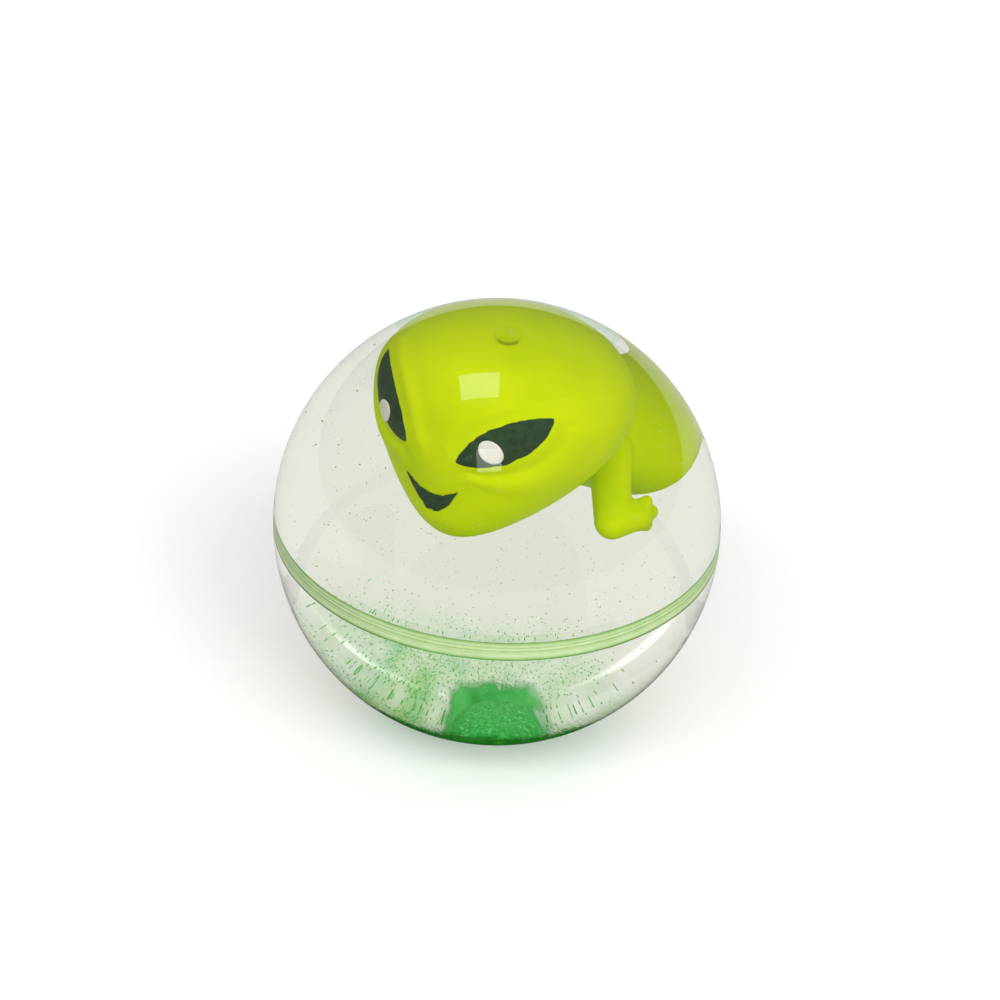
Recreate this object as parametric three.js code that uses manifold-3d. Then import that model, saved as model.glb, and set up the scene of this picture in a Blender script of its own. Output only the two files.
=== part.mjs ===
// Light-up water ball: two clear half shells joined by a seam ring and closed by a fill plug, filled with
// water and settled glitter. A hollow moulded figure floats under the top wall, and its head holds the
// flasher that a bounce sets off. Millimetres, +Z up, origin in the middle of the flat it rests on.

import * as THREE from "three";
import { mergeVertices } from "three/addons/utils/BufferGeometryUtils.js";
import Module from "manifold-3d";

const wasm = await Module();
wasm.setup();

// Ball
const BALL_DIAMETER = 65;
const WALL = 3;
const REST_FLAT_RADIUS = 4;
const CLEARANCE = 0.3;

// Seam ring: an outer band flush with the ball and a thinner tongue through the wall
const SEAM_HEIGHT = 3;
const SEAM_BAND_DEPTH = 1.5;
const SEAM_TONGUE_HEIGHT = 1.4;
const SEAM_GROOVES = 2;
const SEAM_GROOVE_WIDTH = 0.3;
const SEAM_GROOVE_DEPTH = 0.15;

// Fill plug, a stepped stopper with a dished top
const PLUG_HEAD_RADIUS = 2;
const PLUG_HEAD_HEIGHT = 1.2;
const PLUG_STEM_RADIUS = 1.3;
const PLUG_RIM = 0.4;
const PLUG_DISH_DEPTH = 0.5;

// Settled glitter: a thin layer on the wall and a mound off its middle, which stands to BED_HEIGHT
const BED_RADIUS = 12.6;
const BED_LAYER = 0.6;
const BED_HEIGHT = 5.3;
const MOUND_RADIUS = 5.6;
const MOUND_MIDDLE = [1.2, 6.4];
const MOUND_DROP = 3.4;

// Head of the figure: an egg, wider and deeper towards the crown; the face looks along -Y
const HEAD_HALF_WIDTH = 13.9;
const HEAD_HALF_DEPTH = 16.25;
const HEAD_HALF_HEIGHT = 14;
const HEAD_WIDTH_TAPER = 0.39;
const HEAD_DEPTH_TAPER = 0.47;
const HEAD_WALL = 1.8;
const FACE_RECESS = 0.4;

// Almond eyes and smirk, in the face's own plane: across, up
const EYE_INNER_CORNER = [3.5, -4];
const EYE_OUTER_CORNER = [12.4, 5.6];
const EYE_UPPER_BULGE = 1.2;
const EYE_LOWER_BULGE = 2.9;
const MOUTH_HALF_WIDTH = 3.5;
const MOUTH_CORNER_HEIGHT = -8;
const MOUTH_UPPER_SAG = 1.4;
const MOUTH_LOWER_SAG = 3.3;

// How the figure floats
const FIGURE_YAW = THREE.MathUtils.degToRad(-31.6);
const FIGURE_PITCH = THREE.MathUtils.degToRad(32.8);
const FIGURE_ACROSS = -1.7;
const FIGURE_BACK = 3.5;

// Spine of the figure: the common axis of flasher, neck and torso, which drops towards the rear
const SPINE_TILT = THREE.MathUtils.degToRad(6);
const SPINE_RISE = 1;

// Torso, sized across and through, and its stations along the spine
const TORSO_FRONT = 9;
const TORSO_BASE = 25.6;
const TORSO_FRONT_HALF = [5.6, 5.5];
const TORSO_WAIST_HALF = [7.1, 5.4];
const TORSO_BASE_HALF = [8.5, 5.2];
const TORSO_SIDEWAYS_LEAN = 0.058;
const TORSO_WALL = 1.6;
const TORSO_WEB = 3.5;
const TORSO_EDGE_ROUND = 0.8;
const BASE_PLUG_THICKNESS = 1.5;

// Arms, as stations along the spine frame: across, back, up
const SHOULDER = [6.8, 16.4, -0.4];
const ELBOW = [10.8, 15.6, -6.8];
const WRIST = [11.5, 17.2, -5.8];
const SHOULDER_RADIUS = 2.4;
const ELBOW_RADIUS = 2.1;
const WRIST_RADIUS = 1.7;
const FIST_RADIUS = 1.7;
const FINGERS = 3;
const FINGER_RADIUS = 0.75;
const FINGER_CURL = 0.2;

// Neck joint
const NECK_HOLE_RADIUS = 5.1;
const NECK_PLUG_RADIUS = 3.8;
const NECK_PLUG_FRONT = 11;
const NECK_SEAL_LENGTH = 3;
const NECK_SEAL_START = 12;

// Flasher case
const CASE_RADIUS = 4.9;
const CASE_WALL = 0.65;
const CASE_FRONT_WALL = 0.8;
const CASE_CHAMFER = 1.3;
const CAP_THICKNESS = 1.2;
const CAP_LIP = 0.6;

// Button cells
const CELL_COUNT = 3;
const CELL_RADIUS = 3.4;
const CELL_THICKNESS = 2.1;
const CELL_CAP_RADIUS = 2.7;
const CELL_CAP_HEIGHT = 0.3;

// Contacts, board and lamps
const CONTACT_THICKNESS = 0.25;
const CONTACT_RADIUS = 2.6;
const STRIP_WIDTH = 1.2;
const BOARD_RADIUS = 3.9;
const BOARD_THICKNESS = 0.8;
const CHIP_SIZE = 2;
const CHIP_HEIGHT = 0.8;
const CHIP_ACROSS = -1.7;
const LAMP_SPACING = 3.9;
const LAMP_RADIUS = 1.5;
const LAMP_FLANGE_RADIUS = 1.7;
const LAMP_FLANGE_HEIGHT = 0.7;
const LAMP_LENGTH = 3.4;

// Shock switch: a coil that stands on the board round a pin
const SPRING_RADIUS = 1.3;
const SPRING_WIRE = 0.3;
const SPRING_CURLS = 4;
const SPRING_PITCH = 0.85;
const SPRING_ACROSS = 1.8;
const SPRING_HEADROOM = 0.8;
const PIN_RADIUS = 0.3;
const PIN_SHORTFALL = 0.6;

// Facets
const ROUND_SEGMENTS = 40;
const QUADRANT_STEPS = 8;
const HEAD_SEGMENTS = 26;
const HEAD_RINGS = 16;
const SMALL_SEGMENTS = 16;
const BODY_SIDES = 18;
const ARM_SIDES = 8;
const BED_STEPS = 4;
const MOUND_STEPS = 4;
const FACE_CURVE_STEPS = 6;
const DOME_STEPS = 3;
const CURL_STEPS = 8;
const WIRE_SIDES = 5;
const MERGE_DISTANCE = 1e-4;
const OVERCUT = 2;

// Worked out from the sizes above
const BALL_RADIUS = BALL_DIAMETER / 2;
const INNER_RADIUS = BALL_RADIUS - WALL;
const WATER_RADIUS = INNER_RADIUS - CLEARANCE;
const CENTRE_HEIGHT = Math.sqrt(BALL_RADIUS ** 2 - REST_FLAT_RADIUS ** 2);
const SEAM_STEP_RADIUS = BALL_RADIUS - SEAM_BAND_DEPTH;
const QUARTER = Math.PI / 2;

// Solid of a closed geometry, its shared vertices merged and its empty triangles dropped
function solidOf(geometry) {
  const bare = geometry.clone();
  bare.deleteAttribute("normal");
  bare.deleteAttribute("uv");
  const merged = mergeVertices(bare, MERGE_DISTANCE);
  const index = merged.index.array;
  const triangles = [];
  for (let i = 0; i < index.length; i += 3) {
    const [a, b, c] = [index[i], index[i + 1], index[i + 2]];
    if (a !== b && b !== c && c !== a) triangles.push(a, b, c);
  }
  const vertProperties = merged.attributes.position.array;
  const triVerts = new Uint32Array(triangles);
  return new wasm.Manifold(new wasm.Mesh({ numProp: 3, vertProperties, triVerts }));
}

// Geometry of a joined or cut solid
function geometryOf(solid) {
  const mesh = solid.getMesh();
  const geometry = new THREE.BufferGeometry();
  geometry.setAttribute("position", new THREE.BufferAttribute(mesh.vertProperties, 3));
  geometry.setIndex(new THREE.BufferAttribute(mesh.triVerts, 1));
  geometry.computeVertexNormals();
  return geometry;
}

// Body of revolution about the Y axis, from [radius, along] points
function turn(profile, segments = SMALL_SEGMENTS) {
  const points = profile.map(([radius, along]) => new THREE.Vector2(radius, along));
  return new THREE.LatheGeometry(points, segments);
}

// Body of revolution about the ball's upright axis
function turnUpright(profile, segments = ROUND_SEGMENTS) {
  return turn(profile, segments).rotateX(QUARTER);
}

// Arc about the ball's centre between two elevations, as [radius, height] points
function arc(radius, from, to, steps = QUADRANT_STEPS) {
  const points = [];
  for (let i = 0; i <= steps; i++) {
    const elevation = from + ((to - from) * i) / steps;
    points.push([radius * Math.cos(elevation), radius * Math.sin(elevation)]);
  }
  return points;
}

// Closed skin over rings of points that turn right-handed about the way they advance
function loft(rings) {
  const sides = rings[0].length;
  const middleOf = (ring) => ring.reduce((sum, p) => sum.add(p), new THREE.Vector3()).divideScalar(sides);
  const points = [...rings.flat(), middleOf(rings[0]), middleOf(rings.at(-1))];
  const firstMiddle = points.length - 2;
  const lastMiddle = points.length - 1;
  const lastRing = (rings.length - 1) * sides;
  const index = [];
  for (let side = 0; side < sides; side++) {
    const next = (side + 1) % sides;
    for (let start = 0; start < lastRing; start += sides) {
      index.push(start + side, start + next, start + sides + next);
      index.push(start + side, start + sides + next, start + sides + side);
    }
    index.push(firstMiddle, next, side);
    index.push(lastMiddle, lastRing + side, lastRing + next);
  }
  const geometry = new THREE.BufferGeometry().setFromPoints(points);
  geometry.setIndex(index);
  return geometry;
}

// Ring of points round a centre, with its two half sizes along two directions
function ringAt(centre, first, second, firstHalf, secondHalf, sides) {
  const points = [];
  for (let side = 0; side < sides; side++) {
    const angle = (2 * Math.PI * side) / sides;
    const point = centre.clone().addScaledVector(first, firstHalf * Math.cos(angle));
    points.push(point.addScaledVector(second, secondHalf * Math.sin(angle)));
  }
  return points;
}

// Oval ring across the spine, moved to one side by the torso's lean
function spineRing(along, [across, through], sides = BODY_SIDES) {
  const centre = new THREE.Vector3(TORSO_SIDEWAYS_LEAN * along, along, 0);
  return ringAt(centre, new THREE.Vector3(0, 0, 1), new THREE.Vector3(1, 0, 0), through, across, sides);
}

// Round bar along the Y axis, between two stations
function bar(radius, from, to, segments = SMALL_SEGMENTS) {
  return turn([[0, from], [radius, from], [radius, to], [0, to]], segments);
}

// Box between two corners
function block(low, high) {
  const size = low.map((value, axis) => high[axis] - value);
  const middle = low.map((value, axis) => (high[axis] + value) / 2);
  return new THREE.BoxGeometry(...size).translate(...middle);
}

// Upper half shell, with the stepped hole for the plug
const plugSeat = BALL_RADIUS - PLUG_HEAD_HEIGHT - CLEARANCE;
function upperShell() {
  const headHole = PLUG_HEAD_RADIUS + CLEARANCE;
  const stemHole = PLUG_STEM_RADIUS + CLEARANCE;
  const bandEdge = SEAM_HEIGHT / 2 + CLEARANCE;
  const tongueEdge = SEAM_TONGUE_HEIGHT / 2 + CLEARANCE;
  const lip = SEAM_STEP_RADIUS - CLEARANCE;
  const outer = arc(BALL_RADIUS, Math.asin(bandEdge / BALL_RADIUS), Math.acos(headHole / BALL_RADIUS));
  const inner = arc(INNER_RADIUS, Math.acos(stemHole / INNER_RADIUS), Math.asin(tongueEdge / INNER_RADIUS));
  const hole = [[headHole, plugSeat], [stemHole, plugSeat]];
  const step = [[lip, tongueEdge], [lip, bandEdge], outer[0]];
  return turnUpright([...outer, ...hole, ...inner, ...step]);
}

// Lower half shell, flat where the ball rests
function lowerShell() {
  const bandEdge = -SEAM_HEIGHT / 2 - CLEARANCE;
  const tongueEdge = -SEAM_TONGUE_HEIGHT / 2 - CLEARANCE;
  const lip = SEAM_STEP_RADIUS - CLEARANCE;
  const flatEdge = -Math.acos(REST_FLAT_RADIUS / BALL_RADIUS);
  const outer = arc(BALL_RADIUS, flatEdge, Math.asin(bandEdge / BALL_RADIUS));
  const inner = arc(INNER_RADIUS, Math.asin(tongueEdge / INNER_RADIUS), -QUARTER);
  const step = [[lip, bandEdge], [lip, tongueEdge]];
  return turnUpright([[0, -CENTRE_HEIGHT], ...outer, ...step, ...inner]);
}

// Seam ring, with fine grooves round its outer face
function seamRing() {
  const faceRadius = (height) => Math.sqrt(BALL_RADIUS ** 2 - height ** 2);
  const halfBand = SEAM_HEIGHT / 2;
  const halfTongue = SEAM_TONGUE_HEIGHT / 2;
  const spacing = SEAM_HEIGHT / (SEAM_GROOVES + 1);
  const face = [[faceRadius(halfBand), -halfBand]];
  for (let groove = 1; groove <= SEAM_GROOVES; groove++) {
    const middle = groove * spacing - halfBand;
    const low = middle - SEAM_GROOVE_WIDTH / 2;
    const high = middle + SEAM_GROOVE_WIDTH / 2;
    const valley = [faceRadius(middle) - SEAM_GROOVE_DEPTH, middle];
    face.push([faceRadius(low), low], valley, [faceRadius(high), high]);
  }
  face.push([faceRadius(halfBand), halfBand]);
  const upperStep = [[SEAM_STEP_RADIUS, halfBand], [SEAM_STEP_RADIUS, halfTongue]];
  const tongue = [[INNER_RADIUS, halfTongue], [INNER_RADIUS, -halfTongue]];
  const lowerStep = [[SEAM_STEP_RADIUS, -halfTongue], [SEAM_STEP_RADIUS, -halfBand]];
  return turnUpright([...face, ...upperStep, ...tongue, ...lowerStep, face[0]]);
}

// Fill plug, flush with the ball outside and with the cavity inside
function fillPlug() {
  const top = Math.sqrt(BALL_RADIUS ** 2 - PLUG_HEAD_RADIUS ** 2);
  const shoulder = plugSeat + CLEARANCE;
  const stem = [[0, INNER_RADIUS], [PLUG_STEM_RADIUS, INNER_RADIUS], [PLUG_STEM_RADIUS, shoulder]];
  const head = [[PLUG_HEAD_RADIUS, shoulder], [PLUG_HEAD_RADIUS, top], [PLUG_HEAD_RADIUS - PLUG_RIM, top]];
  return turnUpright([...stem, ...head, [0, top - PLUG_DISH_DEPTH]], SMALL_SEGMENTS);
}

// Profile of the glitter's layer on the wall, between two radii about the ball's centre
function glitterLayer(floorRadius, topRadius, reach) {
  const floor = arc(floorRadius, -QUARTER, -Math.acos(reach / floorRadius), BED_STEPS);
  const surface = arc(topRadius, -Math.acos(reach / topRadius), -QUARTER, BED_STEPS);
  return { floor, surface };
}

// Mound of glitter, rounded off towards its foot
function glitterMound(grow) {
  const top = BED_HEIGHT - WATER_RADIUS + grow;
  const profile = [[0, -BALL_RADIUS], [MOUND_RADIUS + grow, -BALL_RADIUS]];
  for (let i = MOUND_STEPS; i >= 0; i--) {
    const share = i / MOUND_STEPS;
    profile.push([(MOUND_RADIUS + grow) * share, top - MOUND_DROP * share ** 4]);
  }
  return solidOf(turnUpright(profile, SMALL_SEGMENTS).translate(...MOUND_MIDDLE, 0));
}

// Settled glitter; grown, it is the room that the water leaves for it
function glitterBed(grow = 0) {
  const floorRadius = grow > 0 ? BALL_RADIUS : WATER_RADIUS;
  const layer = glitterLayer(floorRadius, WATER_RADIUS - BED_LAYER - grow, BED_RADIUS + grow);
  const bowl = solidOf(turnUpright([...layer.floor, [BED_RADIUS + grow, 0], [0, 0]]));
  const mound = glitterMound(grow).intersect(bowl);
  return solidOf(turnUpright([...layer.floor, ...layer.surface])).add(mound);
}

// Egg of the head, grown or shrunk all round
function egg(grow = 0) {
  const geometry = new THREE.SphereGeometry(1, HEAD_SEGMENTS, HEAD_RINGS).rotateX(QUARTER);
  const points = geometry.attributes.position;
  for (let i = 0; i < points.count; i++) {
    const up = points.getZ(i);
    const x = points.getX(i) * (HEAD_HALF_WIDTH + grow) * (1 + HEAD_WIDTH_TAPER * up);
    const y = points.getY(i) * (HEAD_HALF_DEPTH + grow) * (1 + HEAD_DEPTH_TAPER * up);
    points.setXYZ(i, x, y, up * (HEAD_HALF_HEIGHT + grow));
  }
  return geometry;
}

// Almond eye outline on one side of the face
function eyeOutline(side) {
  const inner = new THREE.Vector2(...EYE_INNER_CORNER);
  const outer = new THREE.Vector2(...EYE_OUTER_CORNER);
  const middle = inner.clone().lerp(outer, 0.5);
  const along = outer.clone().sub(inner).normalize();
  const across = new THREE.Vector2(-along.y, along.x);
  const upper = middle.clone().addScaledVector(across, 2 * EYE_UPPER_BULGE);
  const lower = middle.clone().addScaledVector(across, -2 * EYE_LOWER_BULGE);
  const shape = new THREE.Shape();
  shape.moveTo(side * inner.x, inner.y);
  shape.quadraticCurveTo(side * upper.x, upper.y, side * outer.x, outer.y);
  shape.quadraticCurveTo(side * lower.x, lower.y, side * inner.x, inner.y);
  return shape;
}

// Crescent outline of the smirk
function mouthOutline() {
  const corner = [MOUTH_HALF_WIDTH, MOUTH_CORNER_HEIGHT];
  const otherCorner = [-MOUTH_HALF_WIDTH, MOUTH_CORNER_HEIGHT];
  const shape = new THREE.Shape();
  shape.moveTo(...otherCorner);
  shape.quadraticCurveTo(0, MOUTH_CORNER_HEIGHT - 2 * MOUTH_UPPER_SAG, ...corner);
  shape.quadraticCurveTo(0, MOUTH_CORNER_HEIGHT - 2 * MOUTH_LOWER_SAG, ...otherCorner);
  return shape;
}

// Recess of one outline in the face, as deep all over
function faceRecess(outline, core) {
  const depth = HEAD_HALF_DEPTH * (1 + HEAD_DEPTH_TAPER);
  const options = { depth, bevelEnabled: false, curveSegments: FACE_CURVE_STEPS };
  const prism = new THREE.ExtrudeGeometry(outline, options).rotateX(QUARTER);
  return solidOf(prism).subtract(core);
}

// Places the spine's own frame in the figure's frame
const spineMatrix = new THREE.Matrix4().makeRotationX(-SPINE_TILT).setPosition(0, 0, SPINE_RISE);

// Hollow head with its eye and mouth recesses and the hole at the neck
function figureHead() {
  const core = solidOf(egg(-FACE_RECESS));
  const neckHole = bar(NECK_HOLE_RADIUS, TORSO_FRONT - OVERCUT, TORSO_BASE).applyMatrix4(spineMatrix);
  let head = solidOf(egg()).subtract(solidOf(egg(-HEAD_WALL))).subtract(solidOf(neckHole));
  for (const outline of [eyeOutline(1), eyeOutline(-1), mouthOutline()]) {
    head = head.subtract(faceRecess(outline, core));
  }
  return geometryOf(head);
}

// Ball of an elbow, a fist or a finger
function knob(middle, radius) {
  return solidOf(new THREE.SphereGeometry(radius, ARM_SIDES, ARM_SIDES / 2).translate(...middle));
}

// Straight tapered limb between two points
function limb(from, to, fromRadius, toRadius) {
  const way = to.clone().sub(from).normalize();
  const first = new THREE.Vector3(1, 0, 0).cross(way).normalize();
  const second = way.clone().cross(first);
  const rings = [[from, fromRadius], [to, toRadius]].map(([middle, radius]) => {
    return ringAt(middle, first, second, radius, radius, ARM_SIDES);
  });
  return solidOf(loft(rings));
}

// Curled fist at the end of a forearm; grown, it is one plain room round the fist and its fingers
function fist(wrist, forward, grow) {
  const middle = wrist.clone().addScaledVector(forward, FIST_RADIUS / 2);
  if (grow > 0) return knob(middle, FIST_RADIUS + FINGER_RADIUS + grow);
  const knuckleLine = new THREE.Vector3(1, 0, 0).cross(forward).normalize();
  const knuckleAngle = 2 * Math.asin(FINGER_RADIUS / FIST_RADIUS);
  let whole = knob(middle, FIST_RADIUS);
  for (let finger = 0; finger < FINGERS; finger++) {
    const angle = (finger - (FINGERS - 1) / 2) * knuckleAngle;
    const knuckle = middle.clone().addScaledVector(forward, (FIST_RADIUS - FINGER_CURL) * Math.cos(angle));
    knuckle.addScaledVector(knuckleLine, (FIST_RADIUS - FINGER_CURL) * Math.sin(angle));
    whole = whole.add(knob(knuckle, FINGER_RADIUS));
  }
  return whole;
}

// Arm on one side, in the spine's frame
function arm(side, grow) {
  const onSide = ([x, y, z]) => new THREE.Vector3(side * x, y, z);
  const [shoulder, elbow, wrist] = [SHOULDER, ELBOW, WRIST].map(onSide);
  const upperArm = limb(shoulder, elbow, SHOULDER_RADIUS + grow, ELBOW_RADIUS + grow);
  const forearm = limb(elbow, wrist, ELBOW_RADIUS + grow, WRIST_RADIUS + grow);
  const forward = wrist.clone().sub(elbow).normalize();
  return upperArm.add(knob(elbow, ELBOW_RADIUS + grow)).add(forearm).add(fist(wrist, forward, grow));
}

// Half sizes of the torso at a station of the spine behind its waist
const torsoWaist = (TORSO_FRONT + TORSO_BASE) / 2;
function torsoHalf(along) {
  const share = (along - torsoWaist) / (TORSO_BASE - torsoWaist);
  return TORSO_WAIST_HALF.map((waist, axis) => waist + (TORSO_BASE_HALF[axis] - waist) * share);
}

// Outside of torso and arms in the figure's frame; grown, it is the room that the water leaves for them
function bodyOutside(grow = 0) {
  const wider = (halves) => halves.map((half) => half + grow);
  const rounded = TORSO_BASE_HALF.map((half) => half - TORSO_EDGE_ROUND);
  const rings = [
    spineRing(TORSO_FRONT - grow, wider(TORSO_FRONT_HALF)),
    spineRing(torsoWaist, wider(TORSO_WAIST_HALF)),
    spineRing(TORSO_BASE - TORSO_EDGE_ROUND, wider(torsoHalf(TORSO_BASE - TORSO_EDGE_ROUND))),
    spineRing(TORSO_BASE + grow, wider(rounded)),
  ];
  const whole = solidOf(loft(rings)).add(arm(1, grow)).add(arm(-1, grow));
  return whole.transform(spineMatrix.elements);
}

// Torso with arms: seated on the back of the head, plugged into its neck hole, hollow from the base
function figureBody() {
  const narrower = (along, gap) => torsoHalf(along).map((half) => half - gap);
  const pocketEnd = NECK_SEAL_START + NECK_SEAL_LENGTH + CLEARANCE;
  const hollowFront = pocketEnd + TORSO_WEB;
  const hollowBack = TORSO_BASE + OVERCUT;
  const hollow = loft([
    spineRing(hollowFront, narrower(hollowFront, TORSO_WALL)),
    spineRing(hollowBack, narrower(hollowBack, TORSO_WALL)),
  ]);
  const pocket = bar(NECK_HOLE_RADIUS, TORSO_FRONT - OVERCUT, pocketEnd).applyMatrix4(spineMatrix);
  const plug = bar(NECK_PLUG_RADIUS, NECK_PLUG_FRONT, pocketEnd + TORSO_WEB / 2).applyMatrix4(spineMatrix);
  const seated = bodyOutside().subtract(solidOf(egg(CLEARANCE))).subtract(solidOf(pocket));
  return geometryOf(seated.add(solidOf(plug)).subtract(solidOf(hollow.applyMatrix4(spineMatrix))));
}

// Lid that closes the torso's hollow, flush with the base
function basePlug() {
  const gap = TORSO_WALL + CLEARANCE;
  const front = TORSO_BASE - BASE_PLUG_THICKNESS;
  const rings = [front, TORSO_BASE].map((along) => {
    return spineRing(along, torsoHalf(along).map((half) => half - gap));
  });
  return loft(rings);
}

// Soft sleeve between the neck plug and the head
function neckSeal() {
  const inner = NECK_PLUG_RADIUS + CLEARANCE;
  const outer = NECK_HOLE_RADIUS - CLEARANCE;
  const end = NECK_SEAL_START + NECK_SEAL_LENGTH;
  const front = [[inner, NECK_SEAL_START], [outer, NECK_SEAL_START]];
  return turn([...front, [outer, end], [inner, end], front[0]]);
}

// Stations of the flasher along the spine, from the cap at the neck towards the face
const capBack = NECK_PLUG_FRONT - CLEARANCE;
const capFront = capBack - CAP_THICKNESS;
const rearContact = capFront - CAP_LIP - CLEARANCE;
const firstCell = rearContact - CONTACT_THICKNESS - CLEARANCE;
const cellPitch = CELL_THICKNESS + CLEARANCE;
const frontContact = firstCell - CELL_COUNT * cellPitch;
const springLength = SPRING_CURLS * SPRING_PITCH + 2 * SPRING_WIRE;
const springFoot = frontContact - CONTACT_THICKNESS - SPRING_HEADROOM - springLength;
const boardBack = springFoot - CLEARANCE;
const boardFront = boardBack - BOARD_THICKNESS;
const lampBase = boardFront - CLEARANCE;
const caseInnerFront = lampBase - LAMP_LENGTH - CLEARANCE;
const caseInnerRadius = CASE_RADIUS - CASE_WALL;
const lidSeat = capFront - CLEARANCE;

// Clear cup of the case, round the lamps and cells
function moduleCup() {
  const front = caseInnerFront - CASE_FRONT_WALL;
  const outside = [[0, front], [CASE_RADIUS - CASE_CHAMFER, front], [CASE_RADIUS, front + CASE_CHAMFER]];
  const mouth = [[CASE_RADIUS, lidSeat], [caseInnerRadius, lidSeat]];
  const insideChamfer = CASE_CHAMFER / 2;
  const insideWall = [caseInnerRadius, caseInnerFront + insideChamfer];
  const insideFloor = [[caseInnerRadius - insideChamfer, caseInnerFront], [0, caseInnerFront]];
  return turn([...outside, ...mouth, insideWall, ...insideFloor]);
}

// Cap that closes the cup, with a lip inside its mouth
function moduleCap() {
  const lipRadius = caseInnerRadius - CLEARANCE;
  const lip = [[0, capFront - CAP_LIP], [lipRadius, capFront - CAP_LIP], [lipRadius, capFront]];
  return turn([...lip, [CASE_RADIUS, capFront], [CASE_RADIUS, capBack], [0, capBack]]);
}

// Button cell: a can with the smaller cap of its other pole
function buttonCell(back) {
  const can = back - CELL_THICKNESS + CELL_CAP_HEIGHT;
  const cap = [[0, back - CELL_THICKNESS], [CELL_CAP_RADIUS, back - CELL_THICKNESS], [CELL_CAP_RADIUS, can]];
  return turn([...cap, [CELL_RADIUS, can], [CELL_RADIUS, back], [0, back]]);
}

// Rear contact: a plate behind the cells and a strip beside them to the board
function contactRear() {
  const plateFront = rearContact - CONTACT_THICKNESS;
  const stripLow = CELL_RADIUS + CLEARANCE;
  const stripHigh = stripLow + CONTACT_THICKNESS;
  const half = STRIP_WIDTH / 2;
  const plate = solidOf(bar(CONTACT_RADIUS, plateFront, rearContact));
  const bridge = solidOf(block([-half, plateFront, 0], [half, rearContact, stripHigh]));
  const strip = solidOf(block([-half, boardBack + CLEARANCE, stripLow], [half, rearContact, stripHigh]));
  return geometryOf(plate.add(bridge).add(strip));
}

// Front contact: a plate on the last cell and a leg to the board
function contactFront() {
  const plateFront = frontContact - CONTACT_THICKNESS;
  const half = STRIP_WIDTH / 2;
  const legLow = -CELL_RADIUS;
  const plate = solidOf(bar(CONTACT_RADIUS, plateFront, frontContact));
  const bridge = solidOf(block([-half, plateFront, legLow], [half, frontContact, 0]));
  const legHigh = legLow + CONTACT_THICKNESS;
  const leg = solidOf(block([-half, boardBack + CLEARANCE, legLow], [half, frontContact, legHigh]));
  return geometryOf(plate.add(bridge).add(leg));
}

// Flasher chip under its blob, on the back of the board
function flasherChip() {
  const half = CHIP_SIZE / 2;
  const foot = boardBack + CLEARANCE;
  return block([CHIP_ACROSS - half, foot, -half], [CHIP_ACROSS + half, foot + CHIP_HEIGHT, half]);
}

// Lamp with its flange and domed tip
function lamp(across) {
  const tip = lampBase - LAMP_LENGTH;
  const flange = lampBase - LAMP_FLANGE_HEIGHT;
  const dome = [];
  for (let i = 0; i <= DOME_STEPS; i++) {
    const angle = (QUARTER * i) / DOME_STEPS;
    dome.push([LAMP_RADIUS * Math.sin(angle), tip + LAMP_RADIUS * (1 - Math.cos(angle))]);
  }
  const rim = [[LAMP_RADIUS, flange], [LAMP_FLANGE_RADIUS, flange], [LAMP_FLANGE_RADIUS, lampBase]];
  return turn([...dome, ...rim, [0, lampBase]]).translate(across, 0, 0);
}

// Shock spring: a coil standing on the board, with straight ends square to it
function springPath() {
  const lead = SPRING_WIRE;
  const steps = SPRING_CURLS * CURL_STEPS;
  const points = [{ angle: 0, along: springFoot }];
  for (let i = 0; i <= steps; i++) {
    const curls = i / CURL_STEPS;
    points.push({ angle: 2 * Math.PI * curls, along: springFoot + lead + SPRING_PITCH * curls });
  }
  points.push({ angle: 2 * Math.PI * SPRING_CURLS, along: springFoot + springLength });
  return points.map(({ angle, along }) => {
    const outward = new THREE.Vector3(Math.sin(angle), 0, Math.cos(angle));
    const middle = new THREE.Vector3(SPRING_ACROSS, along, 0).addScaledVector(outward, SPRING_RADIUS);
    return { outward, middle };
  });
}

function shockSpring() {
  const path = springPath();
  const last = path.length - 1;
  const rings = path.map(({ outward, middle }, i) => {
    const before = path[Math.max(i - 1, 0)].middle;
    const after = path[Math.min(i + 1, last)].middle;
    const way = after.clone().sub(before);
    if (i === 0 || i === last) way.set(0, 1, 0);
    const sideways = way.normalize().clone().cross(outward).normalize();
    const upright = sideways.clone().cross(way).normalize();
    return ringAt(middle, upright, sideways, SPRING_WIRE / 2, SPRING_WIRE / 2, WIRE_SIDES);
  });
  return loft(rings);
}

// Least gap between turns of the spring, on the points of its path
function springGap() {
  const middles = springPath().map(({ middle }) => middle);
  let least = Infinity;
  middles.forEach((point, i) => {
    for (const other of middles.slice(i + CURL_STEPS / 2)) least = Math.min(least, point.distanceTo(other));
  });
  return least - SPRING_WIRE;
}

function shockPin() {
  const top = springFoot + SPRING_CURLS * SPRING_PITCH - PIN_SHORTFALL;
  return bar(PIN_RADIUS, springFoot, top, ARM_SIDES).translate(SPRING_ACROSS, 0, 0);
}

// Height at which the head floats up to lie one clearance under the wall
function floatHeight(turned) {
  const reach = INNER_RADIUS - CLEARANCE;
  const points = egg().applyMatrix4(turned).attributes.position;
  let height = Infinity;
  for (let i = 0; i < points.count; i++) {
    const across = points.getX(i) + FIGURE_ACROSS;
    const back = points.getY(i) + FIGURE_BACK;
    const wall = Math.sqrt(Math.max(reach ** 2 - across ** 2 - back ** 2, 0));
    height = Math.min(height, wall - points.getZ(i));
  }
  return height;
}

// Water, with the room that the figure and the glitter take
function waterFill(figureMatrix) {
  const whole = solidOf(turnUpright(arc(WATER_RADIUS, -QUARTER, QUARTER, 2 * QUADRANT_STEPS)));
  const figure = solidOf(egg(CLEARANCE)).add(bodyOutside(CLEARANCE)).transform(figureMatrix.elements);
  return geometryOf(whole.subtract(figure).subtract(glitterBed(CLEARANCE)));
}

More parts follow.
